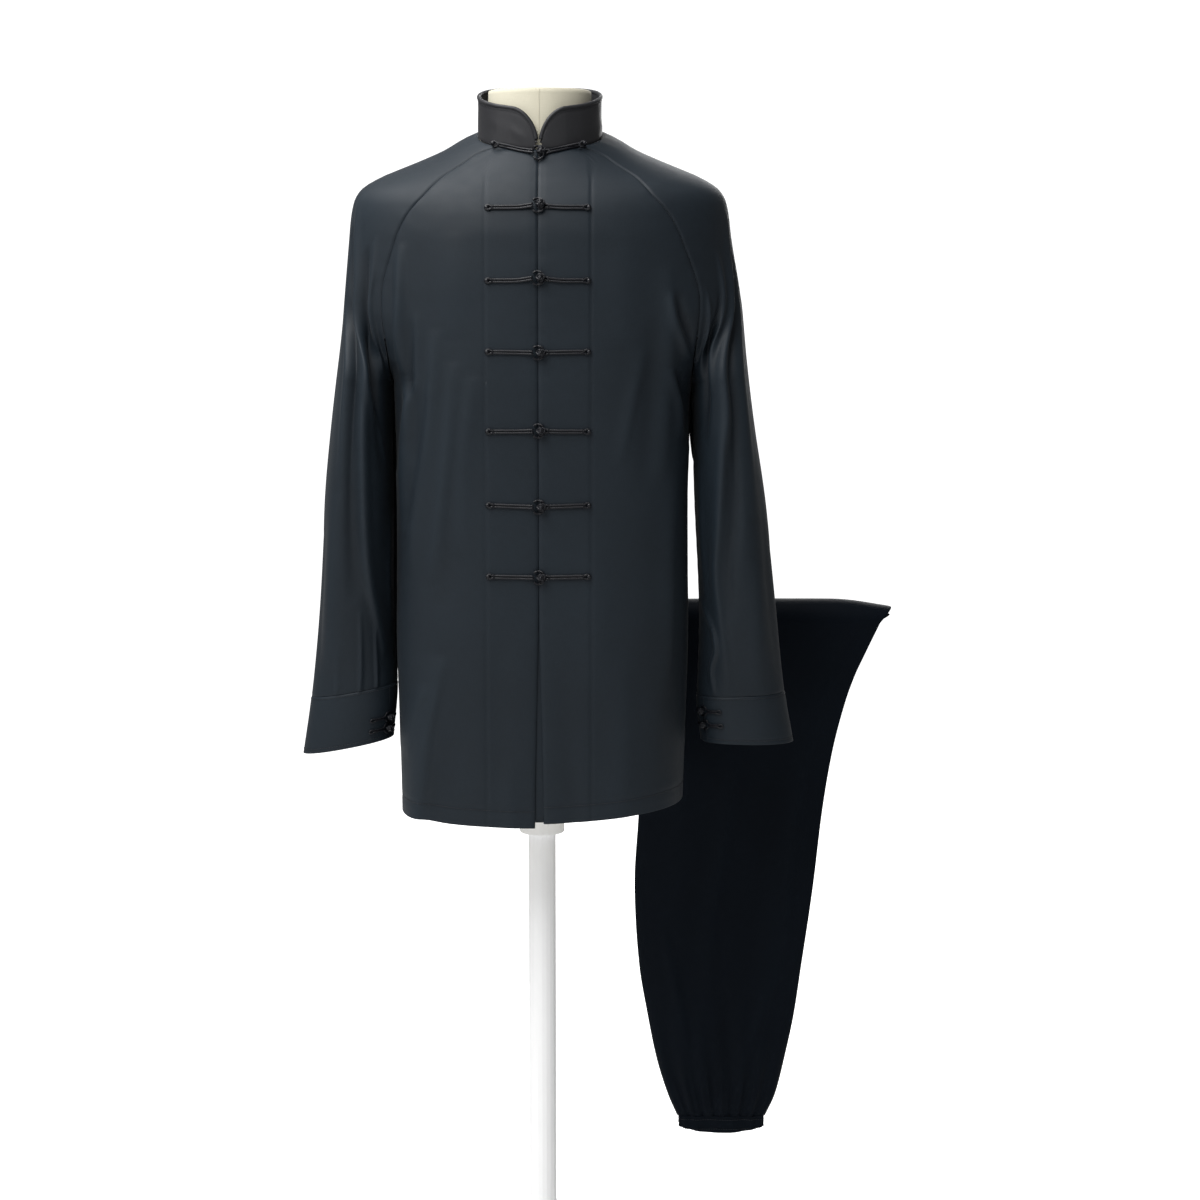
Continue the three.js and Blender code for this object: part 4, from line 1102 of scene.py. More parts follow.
def twist_group() -> Tree:
    """The slanting threads of a cord, with painted highlight on the raised side of each strand."""
    nodes, given, made = new_group(
        "Twist", {"Place": ("Vector", None), "Turns": ("Float", 500.0)}, ["Height", "Threads"]
    )
    split = nodes.add("SeparateXYZ")
    nodes.link(given.outputs["Place"], split.inputs[0])
    slant = nodes.plus(split.outputs["X"], split.outputs["Y"])
    turns = nodes.times(given.outputs["Turns"], 2 * math.pi)
    wave = nodes.math("SINE", nodes.times(slant, turns))
    height = nodes.plus(nodes.times(wave, 0.5), 0.5)
    nodes.link(height, made.inputs["Height"])
    fuzz = nodes.noise(given.outputs["Place"], 900.0, 2.0)
    # Painted highlight: the colour share follows the strands' height, with random fuzz mixed in
    threads = nodes.plus(nodes.times(height, 0.6), nodes.times(fuzz, 0.4))
    nodes.link(threads, made.inputs["Threads"])
    return nodes.tree


GROUPS = {"weave": weave_group(), "tone_and_painted_shade": tone_and_painted_shade_group(), "twist": twist_group()}


@dataclass(frozen=True)
class Finish:
    """What every finish has: two shades, a roughness and a gloss."""

    name: str
    deep: tuple[float, float, float]
    pale: tuple[float, float, float]
    roughness: float
    specular: float = 0.5
    sheen: float = 0.0

    def start(self) -> tuple[Material, Nodes, Node]:
        """Makes the material with its shader.

        Returns:
            The material, its nodes and its shader node.
        """
        material = bpy.data.materials.new(self.name)
        material.use_nodes = True
        shader = material.node_tree.nodes["Principled BSDF"]
        shader.inputs["Specular IOR Level"].default_value = self.specular
        shader.inputs["Sheen Weight"].default_value = self.sheen
        shader.inputs["Sheen Roughness"].default_value = 0.35
        return material, Nodes(material.node_tree), shader

    def colour(self, nodes: Nodes, shader: Node, share: Socket) -> None:
        """Mixes the two shades by a share."""
        blend = nodes.add("Mix", data_type="RGBA")
        nodes.link(share, blend.inputs["Factor"])
        blend.inputs[6].default_value = (*self.deep, 1)
        blend.inputs[7].default_value = (*self.pale, 1)
        nodes.link(blend.outputs[2], shader.inputs["Base Color"])

    def roughen(self, nodes: Nodes, shader: Node, value: Socket, swing: float, offset: float) -> None:
        """Lets the roughness change with a value.

        Args:
            nodes: The material's nodes.
            shader: Its shader.
            value: The value's socket.
            swing: How much rougher it is where the value is 1.
            offset: How much smoother it is where the value is 0.
        """
        change = nodes.times(value, swing)
        nodes.link(nodes.plus(change, self.roughness - offset), shader.inputs["Roughness"])

    def bump(self, nodes: Nodes, shader: Node, height: Socket, strength: float, depth: float) -> None:
        """Raises a height on the surface.

        Args:
            nodes: The material's nodes.
            shader: Its shader.
            height: The height's socket.
            strength: How strong it is.
            depth: Its depth in metres.
        """
        node = nodes.add("Bump")
        node.inputs["Strength"].default_value = strength
        node.inputs["Distance"].default_value = depth
        nodes.link(height, node.inputs["Height"])
        nodes.link(node.outputs[0], shader.inputs["Normal"])


@dataclass(frozen=True)
class ClothFinish(Finish):
    """Woven cloth: threads, uneven tone, painted highlight on ridges, painted shade in troughs."""

    threads: float = 1800.0
    slubs: float = 0.5
    thread_depth: float = 0.00008
    spread: float = 6.0

    def build(self) -> Material:
        """Makes the material."""
        material, nodes, shader = self.start()
        place = nodes.add("UVMap", uv_map="Cloth").outputs[0]
        weave = nodes.add("Group", node_tree=GROUPS["weave"])
        nodes.link(place, weave.inputs["Place"])
        weave.inputs["Threads"].default_value = self.threads
        weave.inputs["Slubs"].default_value = self.slubs
        tone_and_painted_shade = nodes.add("Group", node_tree=GROUPS["tone_and_painted_shade"])
        nodes.link(nodes.add("TexCoord").outputs["Object"], tone_and_painted_shade.inputs["Place"])
        # The crest attribute drives the painted highlight on ridges and the painted shade in troughs
        nodes.link(nodes.add("Attribute", attribute_name="crest").outputs["Fac"], tone_and_painted_shade.inputs["Crest"])
        tone_and_painted_shade.inputs["Spread"].default_value = self.spread
        threads = nodes.times(nodes.math("SUBTRACT", weave.outputs["Threads"], 0.5), 0.9)
        self.colour(nodes, shader, nodes.plus(tone_and_painted_shade.outputs["Shade"], threads))
        self.roughen(nodes, shader, tone_and_painted_shade.outputs["Fine"], 0.12, 0.06)
        self.bump(nodes, shader, weave.outputs["Height"], 0.35, self.thread_depth)
        return material


@dataclass(frozen=True)
class CordFinish(Finish):
    """A twisted satin cord, with painted highlight on the raised side of its strands."""

    turns: float = 500.0

    def build(self) -> Material:
        """Makes the material."""
        material, nodes, shader = self.start()
        twist = nodes.add("Group", node_tree=GROUPS["twist"])
        nodes.link(nodes.add("UVMap", uv_map="Cloth").outputs[0], twist.inputs["Place"])
        twist.inputs["Turns"].default_value = self.turns
        # Painted highlight on the strands' raised side, from the twist's colour share
        self.colour(nodes, shader, twist.outputs["Threads"])
        self.roughen(nodes, shader, twist.outputs["Threads"], 0.15, 0.08)
        self.bump(nodes, shader, twist.outputs["Height"], 0.5, 0.0002)
        return material


@dataclass(frozen=True)
class PlainFinish(Finish):
    """Thread or paint: a shade that changes a little, with a fine grain."""

    grain: float = 300.0
    depth: float = 0.00005

    def build(self) -> Material:
        """Makes the material."""
        material, nodes, shader = self.start()
        place = nodes.add("TexCoord").outputs["Object"]
        grain = nodes.noise(place, self.grain, 3.0)
        self.colour(nodes, shader, nodes.noise(place, 8.0, 4.0))
        self.roughen(nodes, shader, grain, 0.2, 0.1)
        self.bump(nodes, shader, grain, 0.4, self.depth)
        return material


FINISHES = {
    "jacket": ClothFinish(
        "JacketCrepe", (0.0036, 0.0066, 0.0102), (0.0095, 0.0160, 0.0230), 0.6, 0.24, 0.02
    ),
    "trousers": ClothFinish(
        "TrouserCrepe", (0.0011, 0.0024, 0.0047), (0.0028, 0.0054, 0.0096), 0.6, 0.06, 0.0
    ),
    "collar": ClothFinish("CollarCrepe", (0.010, 0.0105, 0.012), (0.024, 0.024, 0.027), 0.48, 0.3, 0.03),
    "cord": CordFinish("SatinCord", (0.0015, 0.0016, 0.003), (0.005, 0.006, 0.010), 0.42, 0.3, 0.0),
    "thread": PlainFinish("SewingThread", (0.004, 0.005, 0.008), (0.010, 0.013, 0.018), 0.5),
    "linen": ClothFinish(
        "FormLinen", (0.44, 0.415, 0.325), (0.58, 0.55, 0.44), 0.85, 0.3, 0.1, 900.0, 0.8, 0.0002
    ),
    "paint": PlainFinish("StandPaint", (0.93, 0.93, 0.93), (0.97, 0.97, 0.97), 0.5, grain=120.0),
}


def stamp(piece: Object, slot: str, *nodes: str) -> Object:
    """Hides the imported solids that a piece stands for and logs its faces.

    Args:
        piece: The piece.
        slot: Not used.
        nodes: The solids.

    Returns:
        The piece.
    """
    if nodes:
        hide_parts(*nodes)
    log.info("%s: %d faces", piece.name, len(piece.data.polygons))
    return piece


SHOULDER_LEVELS = (1329, 1328.2, 1326.6, 1324, 1320, 1307, 1295, 1283, 1270, 1252, 1222, 1184, 1140)
ARMHOLE_ANGLES = (79, 73, 67.5, 62, 56, 50.5, 45, 39.5, 34, 28, 22.5, 18, 14, 10.5, 7, 3.5, 0)
ARMHOLE_LEVELS = tuple(
    ARMPIT + (1 - math.cos(math.radians(angle))) * (ARMHOLE_TOP - ARMPIT) for angle in ARMHOLE_ANGLES
)
BODY_LEVELS = (1000, 930, 860, 790, 730, 670, 610, 556)
SLEEVE_LEVELS = (1015, 960, 900, 840, 785, 740, 712, 690)
END_ROWS = (5, 2.2, 0.8, 0)


def seam_rows(below: Sequence[float]) -> Array:
    """Levels from the top down of a piece sewn along the raglan seam, from its levels below the armpit."""
    ends = [below[-1] + rise for rise in END_ROWS]
    return fill_in([*SHOULDER_LEVELS, *ARMHOLE_LEVELS, *below[:-1], *ends], ROW_STEP)


def sew(
    cloth: Cloth,
    name: str,
    border: str,
    inset: float,
    thread: Material,
    slot: str,
    lift: float = THREAD_LIFT,
) -> Object:
    """Sews a row of stitches along a border.

    Args:
        cloth: The cloth.
        name: The row's name without the word stitches.
        border: The border.
        inset: How far the row lies from it.
        thread: The thread's finish.
        slot: Passed on to stamp.
        lift: How far the thread lies off the cloth.

    Returns:
        The row.
    """
    return stamp(stitch_row(f"{name}_stitches", cloth.line(border, inset, lift), thread), slot)


# Paths on the fronts and the back: distance from the middle and height, for the back by the sign of X
FRONT_CREASES = {
    "right": folds(
        (((152, 1205), (154, 1172), (154, 1143), (156, 1101), (152, 1060)), 7, 5, 0.6),
        (((163, 1075), (160, 1040), (161, 1000), (163, 950)), 8, -4),
        (((150, 1048), (147, 1030), (152, 1002), (155, 960), (154, 880)), 7, 4, 0.7),
        (((134, 1130), (135, 1056), (144, 1030), (148, 990)), 6, 3.4, 0.6),
        (((142, 1120), (144, 1070), (139, 1020), (141, 960)), 6, -3.2),
        (((114, 1110), (117, 1056), (125, 992), (138, 922), (146, 840)), 9, 3.8, 0.6),
        (((122, 1040), (133, 960), (146, 890)), 9, -2.8),
        (((94, 1075), (99, 1000), (108, 920), (122, 830)), 11, 3.5, 0.6),
        (((72, 1060), (84, 957), (92, 860)), 12, 3.2, 0.6),
        (((78, 1010), (96, 900), (108, 800)), 14, -2.4),
        (((96, 1215), (92, 1160), (96, 1100)), 20, 1.6),
        (((107, 748), (116, 701), (125, 654), (137, 560)), 6, 6.2, 3.2, True),
        (((126, 716), (139, 680), (150, 630)), 5, 2.6, 2.4),
        (((92, 660), (112, 610), (122, 565)), 14, -2.2, 1.0, True),
        (((40, 800), (46, 700), (42, 560)), 16, -1.2),
        (((30, 640), (34, 590), (30, 556)), 12, 1.4, 1.0, True),
    ),
    "left": folds(
        (((146, 1150), (150, 1125), (158, 1103), (168, 1078)), 6, 4.5, 0.5),
        (((153, 1150), (158, 1128), (166, 1108), (173, 1090)), 5, -4.5),
        (((146, 1068), (152, 1046), (158, 1024), (160, 990)), 6, 4, 0.5),
        (((154, 1066), (161, 1046), (166, 1024), (168, 980)), 6, -4.5),
        (((142, 1180), (146, 1111), (142, 1034), (136, 940)), 11, 2.8, 0.7),
        (((128, 1120), (124, 1030), (116, 930)), 12, -2.2),
        (((118, 1090), (104, 1030), (90, 960)), 9, 2.0, 0.6),
        (((152, 960), (146, 840), (148, 700)), 11, 2.8, 0.7),
        (((160, 800), (150, 690), (146, 600)), 12, -2.4),
        (((100, 1215), (94, 1150), (98, 1090)), 20, 1.4),
        (((90, 760), (96, 640), (88, 540)), 18, 2.0, 0.7),
        (((26, 740), (34, 640), (38, 556)), 14, -1.4, 1.0, True),
        (((60, 900), (66, 790), (60, 690)), 16, 1.2),
    ),
}
BACK_CREASES = {
    -1: folds(
        (((150, 1150), (140, 960), (126, 780)), 16, 4, 0.7),
        (((120, 1130), (98, 860)), 18, -3),
        (((72, 900), (84, 556), (96, 212)), 20, 3.5),
        (((146, 860), (138, 570), (129, 252)), 16, 3),
        (((30, 1190), (46, 1080), (40, 930)), 18, 2.0),
        (((140, 1090), (104, 1050), (70, 1030)), 8, 1.8, 0.6),
        (((110, 700), (100, 620), (112, 480)), 12, -2.0),
    ),
    1: folds(
        (((150, 1150), (136, 980), (126, 780)), 16, 4, 0.6),
        (((120, 1130), (98, 860)), 18, -3),
        (((72, 900), (84, 556), (96, 212)), 20, 3.5),
        (((146, 860), (138, 570), (129, 252)), 16, 3),
        (((20, 1150), (8, 1020), (22, 880)), 20, 1.8),
        (((150, 1110), (120, 1060), (92, 1020)), 8, 2.0, 0.5),
        (((40, 760), (30, 650), (44, 460)), 16, -2.2),
    ),
}


@dataclass
class Jacket:
    """The fronts, the back and the underlap, on the dress form."""

    front_steps: int = 100
    back_steps: int = 130
    stitch_lift: float = 0.25
    underlap_sides: tuple[float, float] = (-12, 30)
    underlap_levels: tuple[float, ...] = (1236, 900, 560)
    underlap_wall: float = 1.1
    underlap_gap: float = 1.4
    facing_rise: float = 0.35
    facing_groove: float = 0.45
    hem_groove: tuple[float, float] = (0.85, 1.9)

    def front(self, side: Side) -> Cloth:
        """Shapes one front.

        Args:
            side: The wearer's right or left.

        Returns:
            The front.
        """
        columns = close_to_edges(self.front_steps)
        level, u = np.meshgrid(seam_rows(BODY_LEVELS), columns, indexing="ij")
        grid = FORM.front(side, u, level)
        across = np.abs(grid[..., 0])
        height = relief(FRONT_CREASES[side.name], across, grid[..., 2])
        below_collar = smooth(Cloth.distances(grid, "top") / 30)
        height += self.facing_rise * smooth((FACING - across) / 2.2) * below_collar
        height -= self.facing_groove * bell(across - FACING, 1.8)
        height -= Cloth.groove(grid, "bottom", HEM_DEPTH, *self.hem_groove)
        height *= smooth(across / 9)
        sewn = ("top", "first", "last")
        return Cloth(f"{side.name}_front_cloth", grid, height, sewn=sewn, seed=3 + side.sign)

    def back(self) -> Cloth:
        """Shapes the back."""
        columns = close_to_edges(self.back_steps, (0.002, 0.005, 0.01)) * 2 - 1
        level, u = np.meshgrid(seam_rows(BODY_LEVELS), columns, indexing="ij")
        grid = FORM.back(u, level)
        across, height = np.abs(grid[..., 0]), np.zeros_like(level)
        for sign, creases in BACK_CREASES.items():
            own = relief(creases, across, grid[..., 2])
            height += own * smooth(0.5 + sign * u * 2.5)
        height -= Cloth.groove(grid, "bottom", HEM_DEPTH, *self.hem_groove)
        return Cloth("back_cloth", grid, height, sewn=("top", "first", "last"), seed=7)

    def underlap(self) -> Cloth:
        """Shapes the strip behind the centre-front opening."""
        x, level = np.meshgrid(np.linspace(*self.underlap_sides, 13), fill_in(self.underlap_levels, 8))
        behind = CLOTH + self.underlap_gap
        depth = FORM.section(Face.FRONT, level)[1]
        bend = (np.abs(x) / BODY.half_width(ARMPIT)) ** BODY_ROUNDNESS * depth / BODY_ROUNDNESS
        centre = (RIGHT.hem_centre + LEFT.hem_centre) / 2
        low = ARMPIT - (ARMPIT - level) / (ARMPIT - HEM) * (ARMPIT - centre)
        grid = np.stack([x, -depth + bend + behind, np.where(level < ARMPIT, low, level)], -1)
        return Cloth("underlap_cloth", grid, toward=(0, -1, 0), wall=self.underlap_wall)

    def build(self, finishes: dict[str, Material]) -> dict[str, Cloth]:
        """Makes the body of the jacket.

        Args:
            finishes: The materials by name.

        Returns:
            The two fronts by side.
        """
        fronts = {side.name: self.front(side) for side in (RIGHT, LEFT)}
        panels = [(cloth, f"front_{name}", (0.29, 0.80), 0.162) for name, cloth in fronts.items()]
        for cloth, node, size, area in (*panels, (self.back(), "back", (0.58, 0.82), 0.333)):
            piece = stamp(cloth.build(finishes["jacket"]), "body_cloth", node)
            hem = (f"{cloth.name}_hem", "bottom", HEM_DEPTH)
            sewing = sew(cloth, *hem, finishes["thread"], "body_cloth", self.stitch_lift)
        lap = stamp(self.underlap().build(finishes["jacket"]), "body_cloth", "underlap")
        return fronts


# Paths on the sleeves and cuffs: share of the way round from the underarm seam, and height
SLEEVE_CREASES = {
    "right": folds(
        (((0.37, 1262), (0.275, 1202), (0.2, 1144), (0.225, 1088), (0.232, 1033), (0.223, 942),
          (0.208, 864), (0.185, 814), (0.158, 782), (0.11, 728)), 13, 6.5, 0.45),
        (((0.37, 1222), (0.315, 1185), (0.25, 1140), (0.27, 1088), (0.276, 1033),
          (0.266, 942), (0.252, 864), (0.236, 800)), 11, -7),
        (((0.36, 1215), (0.32, 1130), (0.325, 1040), (0.315, 930)), 9, 3),
        (((0.225, 1090), (0.222, 1052), (0.185, 1033), (0.135, 1000), (0.085, 955)), 6, 4.5, 1.8),
        (((0.18, 1200), (0.13, 1144), (0.15, 1100), (0.175, 1060), (0.15, 1015), (0.1, 950)), 10, -8),
        (((0.965, 1045), (0.96, 900), (0.965, 700)), 13, 3.2),
        (((0.135, 1210), (0.07, 1156), (0.075, 1112), (0.105, 1083), (0.12, 1062)), 7, 4.5, 1.4),
        (((0.34, 930), (0.335, 820), (0.31, 720)), 20, 3),
        (((0.42, 900), (0.43, 800), (0.4, 710)), 16, -2.6),
        (((0.225, 790), (0.222, 740), (0.226, 688)), 4.5, 3.2, 0.3, True),
        (((0.162, 770), (0.16, 732), (0.161, 688)), 4.5, 3.0, 0.3, True),
        (((0.3, 745), (0.295, 688)), 7, 1.8, 0.6, True),
        (((0.06, 900), (0.075, 830), (0.06, 760)), 12, 2.2, 0.6),
        (((0.5, 1120), (0.48, 1000), (0.5, 880)), 16, 2.4),
        (((0.63, 1235), (0.8, 715)), 19, 5, 0.6),
        (((0.73, 1150), (0.7, 820)), 18, -5),
        (((0.88, 1165), (0.9, 1075)), 11, 4),
    ),
    "left": folds(
        (((0.41, 1240), (0.3, 1180), (0.245, 1128), (0.26, 1033), (0.23, 966),
          (0.2, 899), (0.168, 829), (0.178, 785), (0.21, 700)), 14, 6, 0.4),
        (((0.39, 1195), (0.33, 1155), (0.285, 1112), (0.303, 1033), (0.275, 966),
          (0.245, 890), (0.215, 829), (0.222, 780)), 11, -5.5),
        (((0.36, 1150), (0.365, 1040), (0.34, 900)), 12, 3),
        (((0.21, 1195), (0.155, 1112), (0.195, 1040)), 7, 4, 1.4),
        (((0.16, 1150), (0.12, 1095), (0.16, 1050), (0.13, 985)), 9, -6.5),
        (((0.05, 1150), (0.08, 1105), (0.13, 1062)), 7, 4, 0.6),
        (((0.05, 805), (0.145, 769), (0.16, 747), (0.137, 723), (0.152, 694)), 6.5, 4.2, 0.35),
        (((0.1, 960), (0.09, 880), (0.1, 800)), 13, 2.6, 0.6),
        (((0.33, 850), (0.31, 770), (0.3, 690)), 16, 2.4),
        (((0.42, 940), (0.4, 820), (0.42, 700)), 15, -2.4),
        (((0.5, 1150), (0.52, 1010), (0.5, 860)), 16, 2.6),
        (((0.63, 1235), (0.8, 715)), 19, 5, 0.6),
        (((0.73, 1150), (0.7, 820)), 18, -5),
        (((0.87, 1170), (0.9, 1080)), 11, 4),
        (((0.955, 1045), (0.96, 1010), (0.965, 960)), 13, 4.5),
    ),
}
SLEEVE_BACK_CREASES = folds(
    (((0.82, 860), (0.85, 770), (0.84, 688)), 4.5, 3.0, 0.3, True),
    (((0.74, 820), (0.76, 760), (0.77, 688)), 4.5, 2.8, 0.3, True),
    (((0.86, 1110), (0.8, 1010), (0.78, 900)), 9, 3.4, 0.5),
    (((0.6, 930), (0.64, 830), (0.62, 710)), 13, -2.4),
)
CUFF_CREASES = folds(
    (((0.3, 690), (0.28, 640)), 16, 0.8, 1.0, True),
    (((0.55, 680), (0.6, 628)), 14, -0.8),
    (((0.85, 690), (0.83, 640)), 15, 0.9),
)


@dataclass
class Sleeves:
    """The raglan sleeves with their pleats, and the cuffs."""

    columns: int = 168
    cuff_overlap: float = 1.2
    cuff_opening: float = 0.09
    cuff_levels: tuple[float, ...] = (689, 687.5, 684, 634, 629, 627)
    cuff_rise: float = 0.5
    cuff_groove: tuple[float, float] = (0.35, 0.9)
    cuff_wall: float = 1.6

    def sleeve(self, side: Side) -> Cloth:
        """Shapes one sleeve.

        Args:
            side: The wearer's right or left.

        Returns:
            The sleeve.
        """
        turns = close_to_edges(self.columns, (0.0025, 0.006, 0.012))
        level, turn = np.meshgrid(seam_rows(SLEEVE_LEVELS), turns, indexing="ij")
        grid = FORM.sleeve(side, turn, level)
        height = relief((*SLEEVE_CREASES[side.name], *SLEEVE_BACK_CREASES), turn, level, SLEEVE_ROUND)
        sewn = ("top", "first", "last", "bottom")
        return Cloth(f"{side.name}_sleeve_cloth", grid, height, sewn=sewn, seed=11 + side.sign)

    def cuff(self, side: Side) -> Cloth:
        """Shapes one cuff.

        Args:
            side: The wearer's right or left.

        Returns:
            The cuff.
        """
        levels = fill_in((CUFF_SEAM + self.cuff_overlap, *self.cuff_levels, CUFF_END), 3.5)
        turns = close_to_edges(self.columns, (0.003, 0.007, 0.014)) + self.cuff_opening
        level, turn = np.meshgrid(levels, turns, indexing="ij")
        grid = FORM.sleeve(side, turn, level)
        height = relief(CUFF_CREASES, turn, level, SLEEVE_ROUND * 0.7)
        height += self.cuff_rise * smooth(Cloth.distances(grid, "top") / 1.4)
        for border, inset in CUFF_STITCHES:
            height -= Cloth.groove(grid, border, inset, *self.cuff_groove)
        return Cloth(f"{side.name}_cuff_cloth", grid, height, wall=self.cuff_wall, seed=17 + side.sign)

    def build(self, finishes: dict[str, Material]) -> tuple[dict[str, Cloth], dict[str, Cloth]]:
        """Makes the sleeves and the cuffs.

        Args:
            finishes: The materials by name.

        Returns:
            The sleeves and the cuffs, by side.
        """
        sleeves, cuffs = {}, {}
        for side in (RIGHT, LEFT):
            sleeve = sleeves[side.name] = self.sleeve(side)
            piece = stamp(sleeve.build(finishes["jacket"]), "body_cloth", f"sleeve_{side.name}")
            cuff = cuffs[side.name] = self.cuff(side)
            made = stamp(cuff.build(finishes["jacket"]), "body_cloth", f"cuff_{side.name}")
            rows = [
                sew(cuff, f"{cuff.name}_{border}", border, inset, finishes["thread"], "body_cloth")
                for border, inset in CUFF_STITCHES
            ]
        return sleeves, cuffs


# Paths on the collar: length from its right end, and height
COLLAR_CREASES = folds(
    (((60, 1330), (105, 1338), (150, 1336)), 7, 0.9),
    (((250, 1370), (300, 1362), (340, 1366)), 8, -0.9),
    (((370, 1345), (400, 1330), (420, 1318)), 6, 0.8),
)


@dataclass
class Collar:
    """The stand collar with rounded corners, its binding and its row of stitches."""

    height: float = 45.0
    back_height: float = 39.0
    meeting: float = 12.0
    corner: float = 31.0
    binding: float = 4.6
    wall: float = 2.4
    tuck: float = 2.2
    stitch_inset: float = 2.4
    groove: float = 0.35
    ripple: float = 1.4
    ripple_run: float = 21.0
    corner_power: float = 1.24
    corner_angles: tuple[float, ...] = (0, 12, 24, 36, 50, 66, 90)

    def neckline(self, turn: Array) -> Array:
        """Points of the neckline, from the centre front over the left side and round."""
        front = np.cos(turn) > 0
        depth = np.where(front, SHOULDER.front(NECKLINE), SHOULDER.back(NECKLINE))
        y = -depth * np.cos(turn)
        x = SHOULDER.half_width(NECKLINE) * np.sin(turn)
        return np.stack([x, y, NECKLINE + SHOULDER.tilt(NECKLINE) * y], axis=-1)

    def edge(self, inset: float) -> tuple[Array, Array]:
        """A line inside the outline of the collar, at a distance from it.

        Args:
            inset: The distance.

        Returns:
            Turns round the neck and heights over the neckline, from end to end.
        """
        angle = np.radians(fill_in(self.corner_angles, 4))
        x = inset + SEAM_GAP + (self.corner - inset) * (1 - np.cos(angle))
        turns = np.arcsin(x / SHOULDER.half_width(NECKLINE))
        heights = self.meeting - inset + (self.height - self.meeting) * np.sin(angle) ** self.corner_power
        round_it = np.radians(fill_in((40, 180), 3))
        sides = mix(self.height, self.back_height, smooth((round_it - np.pi / 2) / (np.pi / 2))) - inset
        half_turn, half_height = np.concatenate([turns, round_it]), np.concatenate([heights, sides])
        mirrored = 2 * np.pi - half_turn[:-1][::-1]
        return np.concatenate([half_turn, mirrored]), np.concatenate([half_height, half_height[:-1][::-1]])

    def cloth(self) -> Cloth:
        """Shapes the collar."""
        turns, tops = self.edge(self.binding * 0.75)
        share = np.concatenate([[0, 0.02, 0.05], np.linspace(0.1, 0.95, 14), [0.98, 1]])[::-1, None]
        grid = np.repeat(self.neckline(turns)[None], len(share), axis=0)
        grid[..., 2] += mix(-self.tuck, tops[None], share)
        run = run_lengths(grid, 1)
        height = relief(COLLAR_CREASES, run, grid[..., 2])
        height += self.ripple * np.sin(run / self.ripple_run) * (1 - share) * share
        height -= self.groove * bell((1 - share) * tops[None] - self.stitch_inset, 0.8)
        return Cloth("collar_cloth", grid, height, wall=self.wall, sewn=("bottom",), seed=23)

    def binding_line(self) -> Array:
        """The middle of the binding along the collar's edge."""
        turns, heights = self.edge(self.binding / 2)
        line = self.neckline(turns)
        line[:, 2] += heights
        outward = unit(line * (1, 1, 0))
        return line - outward * self.wall / 2

    def build(self, finishes: dict[str, Material]) -> None:
        """Makes the collar.

        Args:
            finishes: The materials by name.
        """
        cloth = self.cloth()
        piece = stamp(cloth.build(finishes["collar"]), "collar_cloth", "collar")
        line = spline(self.binding_line()[::2], 3)
        taper = np.clip(np.minimum(np.arange(len(line)), np.arange(len(line))[::-1]) / 2 + 0.55, 0, 1)
        points, faces, uv = tube_mesh(line, self.binding / 2 * taper, 12)
        binding = make_object("collar_edge_binding", points, faces, finishes["collar"], uv)
        stamp(binding, "cord", "collar_binding")
        row = sew(cloth, "collar", "top", self.stitch_inset, finishes["thread"], "collar_cloth")
        base = sew(cloth, "collar_base", "bottom", 2.0, finishes["thread"], "collar_cloth")


@dataclass
class KnotBall:
    """A knotted button: one cord that crosses over and under itself round a small ball."""

    radius: float
    cord: float
    leads: int = 3
    bights: int = 4
    reach: float = 1.08
    lift: float = 0.42
    core: float = 0.72

    def mesh(self, centre: Array, axis: Array, steps: int = 120, sides: int = 7) -> tuple:
        """Makes the knot as points, faces and places.

        Args:
            centre: Its middle.
            axis: The direction that its cord winds round.
            steps: Steps along the cord.
            sides: Faces round the cord.

        Returns:
            The mesh.
        """
        t = np.linspace(0, 2 * np.pi, steps, endpoint=False)
        tilt = self.reach * np.cos(self.bights * t)
        size = self.radius - self.cord / 2 + self.lift * np.sin(2 * self.bights * t) - self.lift
        turn = self.leads * t
        wide = np.cos(tilt)
        local = np.stack([wide * np.cos(turn), wide * np.sin(turn), np.sin(tilt)], 1) * size[:, None]
        first = unit(np.cross(axis, [0.1, 0.2, 0.97]))
        basis = np.stack([first, np.cross(axis, first), axis])
        winding = tube_mesh(centre + local @ basis, self.cord / 2, sides, closed=True)
        return join_meshes([winding, ball_mesh(centre, self.radius - self.cord * self.core)])


